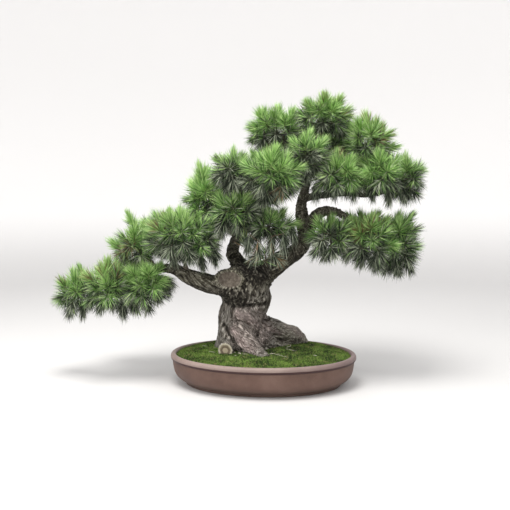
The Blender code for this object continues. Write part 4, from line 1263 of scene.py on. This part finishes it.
# Pale scraps of root on the moss: two ends of each, and its radius
SCRAPS = [
    ((-0.002, 0.000), (0.020, 0.006), 0.0042),
    ((0.069, 0.098), (0.097, 0.084), 0.0013),
    ((0.086, 0.046), (0.096, 0.100), 0.0016),
    ((-0.112, -0.052), (-0.096, -0.066), 0.0020),
    ((-0.086, -0.072), (-0.073, -0.087), 0.0019),
    ((0.033, -0.056), (0.104, -0.123), 0.0008),
    ((0.192, -0.073), (0.203, -0.081), 0.0014),
    ((-0.092, -0.116), (-0.086, -0.118), 0.0014),
    ((0.085, 0.020), (0.129, -0.014), 0.0010),
]
SCRAP_COUNT = 16  # more, strewn round the trunk
SCRAP_MIDDLE = (-0.06, 0.05)
SCRAP_FAR = (0.10, 0.19)
SCRAP_SQUASH = 0.8
SCRAP_LENGTH = (0.008, 0.030)
SCRAP_RADII = (0.0006, 0.0013)
SCRAP_STEP = 0.003
SCRAP_BOW = 0.18
SCRAP_SIDES = 6
SCRAP_ENDS, SCRAP_BELLY = 0.45, 1.1  # how thick its ends are, and how much thicker its middle
SCRAP_RISE = 0.6  # how far its middle lies above the moss, as a share of its radius
SCRAP_LIFT = 0.0022  # and beyond that, so that the blades don't hide it


def pot_inside(grow=0.0):
    """(inset from the pot's outline, height) of the inner wall, from the floor to the lip."""
    return [(0.066 + grow, FLOOR_THICKNESS + grow), (0.044 + grow, FLOOR_THICKNESS + 0.012 + grow),
            (LIP_WIDTH + WALL * 0.5 + grow, 0.060), (LIP_WIDTH + grow, SOIL_EDGE)]


def oval_ring(half_length, half_width, z, segments):
    """Corners round an oval at one height."""
    angle = math.tau * np.arange(segments) / segments
    return np.stack([half_length * np.cos(angle), half_width * np.sin(angle),
                     np.full(segments, z)], 1)


def pot_ring(inset, z, segments):
    """Corners round the pot, this far inside its outline."""
    return oval_ring(POT_LENGTH / 2 - inset, POT_WIDTH / 2 - inset, z, segments)


def stacked(rings):
    """Corners and triangles of a closed body from rings of the same count."""
    sides = len(rings[0])
    points = np.concatenate([*rings, rings[0].mean(0)[None], rings[-1].mean(0)[None]])
    first, last = len(points) - 2, len(points) - 1
    k = np.arange(sides)
    n = np.roll(k, -1)
    top = (len(rings) - 1) * sides
    start = np.stack([np.full(sides, first), n, k], 1)
    end = np.stack([np.full(sides, last), top + k, top + n], 1)
    return points, np.concatenate([walls(len(rings), sides), start, end])


def pot(look):
    profile = [*POT_FOOT, *smooth_line(POT_WALL, POT_STEP), *POT_LIP,
               *smooth_line(pot_inside()[::-1], INSIDE_STEP)]
    points, triangles = stacked([pot_ring(inset, z, POT_SEGMENTS) for inset, z in profile])
    stray = POT_INWARD + layered(points, POT_STRAY)
    share = smooth_step(*POT_TRUE, points[:, 2])
    points = points - unit(points * LEVEL) * (POT_WAVE * share * stray)[:, None]
    piece = mesh_object("pot_body", points, triangles, [look], smooth=True)
    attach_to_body(piece, "root")
    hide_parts("pot")


def moss_rings():
    """Rings of the moss from the middle outwards, before its relief."""
    middle = np.array([0.0, MOUND_OFFSET, GROUND])
    level = oval_ring(MOUND_LENGTH / 2, MOUND_WIDTH / 2, GROUND, MOSS_SEGMENTS)
    level += (0.0, MOUND_OFFSET, 0.0)
    wall = pot_ring(LIP_WIDTH + GAP, SOIL_EDGE, MOSS_SEGMENTS)
    rings = [middle + (level - middle) * k / MOSS_RINGS_LEVEL for k in range(1, MOSS_RINGS_LEVEL + 1)]
    for k in range(1, MOSS_RINGS_SLOPE + 1):
        t = k / MOSS_RINGS_SLOPE
        ring = level + (wall - level) * t
        fall = (SOIL_EDGE - GROUND) * (MOSS_FALL * t + (1 - MOSS_FALL) * t * t)
        ring[:, 2] = GROUND + fall - MOSS_EDGE_DIP * smooth_step(*MOSS_EDGE, t)
        rings.append(ring)
    return rings


def moss(look):
    """The bed of moss. Gives back its corners, its triangles and how many corners are on top."""
    rings = moss_rings()
    inside = [pot_ring(inset, z, MOSS_SEGMENTS) for inset, z in pot_inside(GAP)[:-1]]
    upper = len(rings) * MOSS_SEGMENTS
    points, triangles = stacked([*rings, *reversed(inside)])
    top = np.arange(len(points)) < upper - MOSS_SEGMENTS
    top[-2] = True
    fade = np.ones(len(points))
    fade[upper - len(MOSS_FADE) * MOSS_SEGMENTS:upper] = np.repeat(MOSS_FADE, MOSS_SEGMENTS)
    flat = points * LEVEL
    relief = MOSS_SWELL * layered(flat, SWELL_NOISE, 0.5) + MOSS_TUFT * layered(flat, TUFT_NOISE, 0.5)
    points[top, 2] += (relief * fade)[top]
    body = mesh_object("moss", points, triangles, [look], smooth=True)
    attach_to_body(body, "root")
    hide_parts("soil")
    return points, triangles, upper


def strewn(corners, rng):
    """A place for each blade, spread evenly over triangles."""
    a, b, c = corners[:, 0], corners[:, 1], corners[:, 2]
    area = 0.5 * np.linalg.norm(np.cross(b - a, c - a), axis=1)
    owner = rng.choice(len(corners), BLADES, p=area / area.sum())
    to_b, to_c = rng.random(BLADES), rng.random(BLADES)
    over = to_b + to_c > 1
    to_b, to_c = np.where(over, 1 - to_b, to_b), np.where(over, 1 - to_c, to_c)
    return a[owner] + to_b[:, None] * (b - a)[owner] + to_c[:, None] * (c - a)[owner]


def moss_tints(flat, rng):
    """Colours for blades in patches, with painted shade beside the trunk and some dry ones."""
    tint = TINT_MIDDLE + TINT_BY_PATCH * layered(flat, MOSS_PATCHES)
    tint = tint + rng.normal(0, TINT_BY_BLADE, len(flat)) - MOSS_SHADE * within(flat, **SHADED_MOSS)
    tint = np.clip(np.round(tint), 0, len(MOSS_TINTS) - 2).astype(int)
    patch = smooth_step(*DRY_MOSS_FROM, noise_at(flat * DRY_SQUASH, *DRY_MOSS_NOISE))
    tint[rng.random(len(flat)) < DRY_MOSS + DRY_PATCH * patch] = len(MOSS_TINTS) - 1
    return tint


def moss_blades(points, triangles, upper, rng):
    """Short blades all over the top of the moss."""
    shown = (triangles < upper).all(1) | (triangles == len(points) - 2).any(1)
    root = strewn(points[triangles[shown]], rng)
    root[:, 2] -= BLADE_ROOT
    way = unit(np.array(UP) + rng.normal(0, BLADE_LEAN, root.shape) * LEVEL)
    height = rng.uniform(*BLADE_HEIGHT, BLADES)
    side = unit(np.cross(way, rng.normal(0, 1, way.shape)))
    other = np.cross(way, side)
    width = BLADE_HALF_WIDTH * rng.uniform(*BLADE_WIDTHS, BLADES)[:, None]
    foot = [root + a * width * side + b * width * other for a, b in BLADE_FOOT]
    corners = np.stack([*foot, root + way * height[:, None]], 1)
    looks = [plain(name, colour, MOSS_ROUGHNESS) for name, colour in MOSS_TINTS.items()]
    piece = slivers("moss_blades", corners, BLADE_FACES, looks, moss_tints(root * LEVEL, rng))
    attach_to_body(piece, "root")


def more_scraps(rng):
    """Scraps strewn round the trunk, as rows like those of SCRAPS."""
    rows = []
    for _ in range(SCRAP_COUNT):
        angle = rng.uniform(0, math.tau)
        far = rng.uniform(*SCRAP_FAR)
        start = (SCRAP_MIDDLE[0] + far * math.cos(angle),
                 SCRAP_MIDDLE[1] + SCRAP_SQUASH * far * math.sin(angle))
        way = rng.uniform(0, math.tau)
        long = rng.uniform(*SCRAP_LENGTH)
        end = (start[0] + long * math.cos(way), start[1] + long * math.sin(way))
        rows.append((start, end, rng.uniform(*SCRAP_RADII)))
    return rows


def scraps(bed, look, rng):
    """Pale scraps of root that lie on the moss."""
    tree = KDTree(len(bed))
    for k, p in enumerate(bed):
        tree.insert((p[0], p[1], 0.0), k)
    tree.balance()
    pile = Pile()
    for start, end, radius in SCRAPS + more_scraps(rng):
        start, end = np.array(start), np.array(end)
        count = max(3, round(float(np.linalg.norm(end - start)) / SCRAP_STEP))
        bow = rng.uniform(-SCRAP_BOW, SCRAP_BOW) * np.array([start[1] - end[1], end[0] - start[0]])
        line, sizes = [], []
        for k in range(count + 1):
            t = k / count
            flat = start + (end - start) * t + bow * 4 * t * (1 - t)
            under = bed[tree.find((flat[0], flat[1], 0.0))[1]][2]
            line.append((flat[0], flat[1], under + SCRAP_RISE * radius + SCRAP_LIFT))
            sizes.append(radius * (SCRAP_ENDS + SCRAP_BELLY * math.sqrt(max(t * (1 - t), 0.0))))
        pile.add(*tube(line, sizes, SCRAP_SIDES))
    piece = pile.made("root_scraps", [look])
    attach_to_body(piece, "root")


def bark_look():
    """Grey plates, greener higher up and pinker on the slant, with painted shade in the cracks and
    where shade falls.
    """
    look = Look("bark_plates", 0.9, 0.25)
    grain = look.noise(170.0, 4.0, 0.6)
    fibre = look.noise(150.0, 4.0, 0.6, look.value("drawn", "Vector"))
    tone = look.sum(look.times(look.value("plate"), 0.22), look.times(grain, 0.36),
                    look.times(look.value("streak"), 0.44), look.times(look.noise(22.0, 2.0), 0.20),
                    look.range(fibre, 0.28, 0.72, -0.30, 0.50))
    # Painted shade: the dark colours that shade below 0 mixes in, in holes, creases, overhung places
    # and undersides
    painted_shade = look.ramp(tone, [(0.48, (0.006, 0.005, 0.004)), (0.76, (0.022, 0.020, 0.015)),
                             (1.0, (0.170, 0.160, 0.130))])
    # shade below 0 also lowers the tone, as painted shade; above 0 it raises it
    tone = look.sum(tone, look.times(look.value("shade"), 0.45))
    grey = look.ramp(tone, [(0.24, (0.020, 0.017, 0.014)), (0.46, (0.098, 0.085, 0.070)),
                            (0.68, (0.235, 0.210, 0.180)), (0.95, (0.500, 0.470, 0.420))])
    olive = look.ramp(tone, [(0.24, (0.012, 0.011, 0.008)), (0.46, (0.054, 0.050, 0.034)),
                             (0.70, (0.145, 0.134, 0.098)), (0.98, (0.420, 0.400, 0.310))])
    pink = look.ramp(tone, [(0.28, (0.042, 0.028, 0.025)), (0.58, (0.215, 0.160, 0.148)),
                            (0.90, (0.540, 0.445, 0.415))])
    colour = look.mix(look.value("green"), grey, olive)
    colour = look.mix(look.value("warm"), colour, pink)
    colour = look.mix(look.range(look.value("shade"), 0.0, -1.0, 0.0, 0.95), colour, painted_shade)
    # Painted shade in the cracks between plates
    colour = look.mix(look.times(look.value("crevice"), 0.72), colour, (0.016, 0.013, 0.010))
    colour = look.mix(look.value("cut"), colour, scar_colour(look))
    look.colour(look.mix(look.value("stub"), colour, stub_colour(look)))
    rough = look.sum(look.times(look.noise(420.0, 4.0, 0.65), 0.45), look.times(grain, 0.70), fibre)
    look.bump(rough, 0.0034)
    return look.material


def scar_colour(look):
    """Grey wood with fine rings."""
    rings = look.math("SINE", look.times(look.value("ring"), 62.0))
    tone = look.sum(look.times(rings, 0.10), look.noise(90.0, 4.0))
    return look.ramp(tone, [(0.25, (0.044, 0.034, 0.025)), (0.50, (0.100, 0.083, 0.066)),
                            (0.75, (0.180, 0.155, 0.128))])


def stub_colour(look):
    """Pale wood in the middle, a dark ring round it and a pale rim."""
    tone = look.sum(look.value("ring"), look.times(look.noise(120.0), 0.25))
    return look.ramp(tone, [(0.42, (0.340, 0.290, 0.205)), (0.58, (0.110, 0.082, 0.058)),
                            (0.80, (0.210, 0.175, 0.120)), (0.95, (0.470, 0.430, 0.330))])


def twig_bark_look(name, dark, light):
    """Bark mottled between two browns."""
    look = Look(name, 0.85)
    look.colour(look.ramp(look.noise(160.0), [(0.30, dark), (0.70, light)]))
    look.bump(look.noise(320.0), 0.0008, 0.7)
    return look.material


def clay_look():
    """Unglazed brown clay: speckled, paler on the lip, with a dark line of painted shade just below it.
    """
    look = Look("pot_clay", 0.6, 0.4)
    tone = look.noise(11.0, 5.0, 0.6)
    colour = look.ramp(tone, [(0.32, (0.091, 0.048, 0.035)), (0.50, (0.123, 0.069, 0.052)),
                              (0.70, (0.159, 0.096, 0.075))])
    height = look.sum(look.along("Z"), look.times(look.noise(30.0), 0.0012))
    pale = look.ramp(tone, [(0.30, (0.185, 0.132, 0.116)), (0.55, (0.242, 0.182, 0.160)),
                            (0.75, (0.300, 0.236, 0.208))])
    pale = look.mix(look.range(look.along("X"), 0.05, 0.34, 0.0, 0.8), pale, (0.140, 0.092, 0.090))
    colour = look.mix(look.range(height, 0.1000, 0.1025), colour, pale)
    # Painted shade under the rolled lip: a dark red-brown line
    below = look.range(height, 0.0900, 0.0945)
    above = look.range(height, 0.1002, 0.1022, 1.0, 0.0)
    colour = look.mix(look.times(look.times(below, above), 0.94), colour, (0.036, 0.011, 0.012))
    speck = look.range(look.noise(330.0, 2.0, 0.5), 0.62, 0.70, 0.0, 0.45)
    colour = look.mix(speck, colour, (0.080, 0.060, 0.050))
    foot = look.range(look.along("Z"), 0.045, 0.0, 0.0, 0.35)
    look.colour(look.mix(foot, colour, (0.120, 0.095, 0.080)))
    look.link(look.range(tone, 0.3, 0.7, 0.48, 0.68), look.shader["Roughness"])
    look.bump(look.noise(150.0, 5.0, 0.6), 0.0006, 0.5)
    return look.material


def moss_look():
    """The green under the blades."""
    look = Look("moss_bed", 0.95, 0.15)
    tone = look.sum(look.times(look.noise(24.0), 0.6), look.times(look.noise(150.0, 4.0, 0.65), 0.45))
    look.colour(look.ramp(tone, [(0.38, (0.012, 0.020, 0.006)), (0.50, (0.046, 0.078, 0.015)),
                                 (0.62, (0.105, 0.155, 0.032)), (0.76, (0.200, 0.205, 0.075))]))
    look.bump(look.noise(420.0, 5.0, 0.7), 0.0022)
    return look.material


def scrap_look():
    look = Look("pale_root", 0.8)
    look.colour(look.ramp(look.noise(140.0), [(0.30, (0.330, 0.290, 0.220)),
                                              (0.70, (0.640, 0.600, 0.500))]))
    look.bump(look.noise(300.0), 0.0005, 0.5)
    return look.material


# Studio
STUDIO_START = (0.6, 1.8)  # radii of the innermost rings of the floor
FLOOR_RADIUS = 3.6
FLOOR_DEPTH = 0.0002  # below the pot
WALL_RADIUS = 6.0
WALL_HEIGHT = 3.4
STUDIO_SEGMENTS = 96
CORNER_STEPS = 12
FLOOR_COLOUR, WALL_COLOUR = (0.56, 0.553, 0.553), (0.84, 0.832, 0.832)
AIR_COLOUR, AIR_STRENGTH = (1.0, 0.995, 0.985, 1.0), 1.18
LAMPS = {
    "over": dict(place=(-0.3, -0.9, 3.0), target=(0.0, 0.0, 0.5), size=1.3, power=96.0,
                 colour=(1.0, 0.99, 0.96)),
    "front": dict(place=(-2.0, -2.6, 1.9), target=(0.0, 0.0, 0.45), size=1.8, power=40.0,
                  colour=(1.0, 0.985, 0.96)),
}

# The camera: its turn round the tree, distance, height and tilt, worked out from the photograph
CAMERA_TURN = 6.0
CAMERA_DISTANCE = 2.4
CAMERA_HEIGHT = 0.645
CAMERA_TILT = 3.9
CAMERA_LENS = 45.3
CAMERA_SENSOR = 36.0
CAMERA_ASIDE = -0.030

BRANCH_COLOURS = (0.055, 0.045, 0.036), (0.190, 0.160, 0.125)
TWIG_COLOURS = (0.090, 0.065, 0.042), (0.200, 0.150, 0.100)


def studio():
    """A pale floor that curves up into a round pale wall."""
    reach = WALL_RADIUS - FLOOR_RADIUS
    profile = [(r, 0.0) for r in (*STUDIO_START, FLOOR_RADIUS)]
    for k in range(1, CORNER_STEPS + 1):
        angle = 0.5 * math.pi * k / CORNER_STEPS
        profile.append((FLOOR_RADIUS + reach * math.sin(angle), reach * (1 - math.cos(angle))))
    profile.append((WALL_RADIUS, WALL_HEIGHT))
    rings = [oval_ring(r, r, z - FLOOR_DEPTH, STUDIO_SEGMENTS) for r, z in profile]
    points = np.concatenate([*rings, [[0.0, 0.0, -FLOOR_DEPTH]]])
    k = np.arange(STUDIO_SEGMENTS)
    disc = np.stack([np.full(STUDIO_SEGMENTS, len(points) - 1), k, np.roll(k, -1)], 1)
    triangles = np.concatenate([walls(len(rings), STUDIO_SEGMENTS)[:, ::-1], disc])
    look = Look("studio", 0.9, 0.1)
    look.colour(look.mix(look.range(look.along("Z"), -0.1, 0.7), FLOOR_COLOUR, WALL_COLOUR))
    mesh_object("studio", points, triangles, [look.material], smooth=True)


def placed(name, data, place, ahead):
    """A lamp or camera that looks along ahead."""
    obj = bpy.data.objects.new(name, data)
    bpy.context.scene.collection.objects.link(obj)
    obj.location = place
    obj.rotation_euler = ahead.to_track_quat("-Z", "Y").to_euler()
    return obj


def lamp(name, place, target, size, power, colour):
    data = bpy.data.lights.new(name, "AREA")
    data.size = size
    data.energy = power
    data.color = colour
    placed(name, data, place, Vector(target) - Vector(place))


def light():
    world = bpy.data.worlds.new("studio_air")
    bpy.context.scene.world = world
    world.use_nodes = True
    air = world.node_tree.nodes["Background"]
    air.inputs["Color"].default_value = AIR_COLOUR
    air.inputs["Strength"].default_value = AIR_STRENGTH
    for name, facts in LAMPS.items():
        lamp(name, **facts)
    bpy.context.scene.view_settings.view_transform = "Standard"
    bpy.context.scene.view_settings.look = "None"


def camera():
    turn, tilt = math.radians(CAMERA_TURN), math.radians(CAMERA_TILT)
    data = bpy.data.cameras.new("camera")
    data.lens = CAMERA_LENS
    data.sensor_width = CAMERA_SENSOR
    place = (CAMERA_ASIDE + CAMERA_DISTANCE * math.sin(turn), -CAMERA_DISTANCE * math.cos(turn),
             CAMERA_HEIGHT)
    ahead = Vector((-math.sin(turn) * math.cos(tilt), math.cos(turn) * math.cos(tilt),
                    -math.sin(tilt)))
    bpy.context.scene.camera = placed("camera", data, place, ahead)


def build():
    limbs, tips = plan_limbs()
    twigs = foliage(limbs, tips)
    bark(limbs, bark_look())
    branches(limbs, tips, twig_bark_look("branch_bark", *BRANCH_COLOURS),
             twig_bark_look("twig_bark", *TWIG_COLOURS), twigs)
    pot(clay_look())
    rng = np.random.default_rng(SEED)
    points, triangles, upper = moss(moss_look())
    moss_blades(points, triangles, upper, rng)
    scraps(points[:upper], scrap_look(), rng)
    studio()
    light()
    camera()


build()
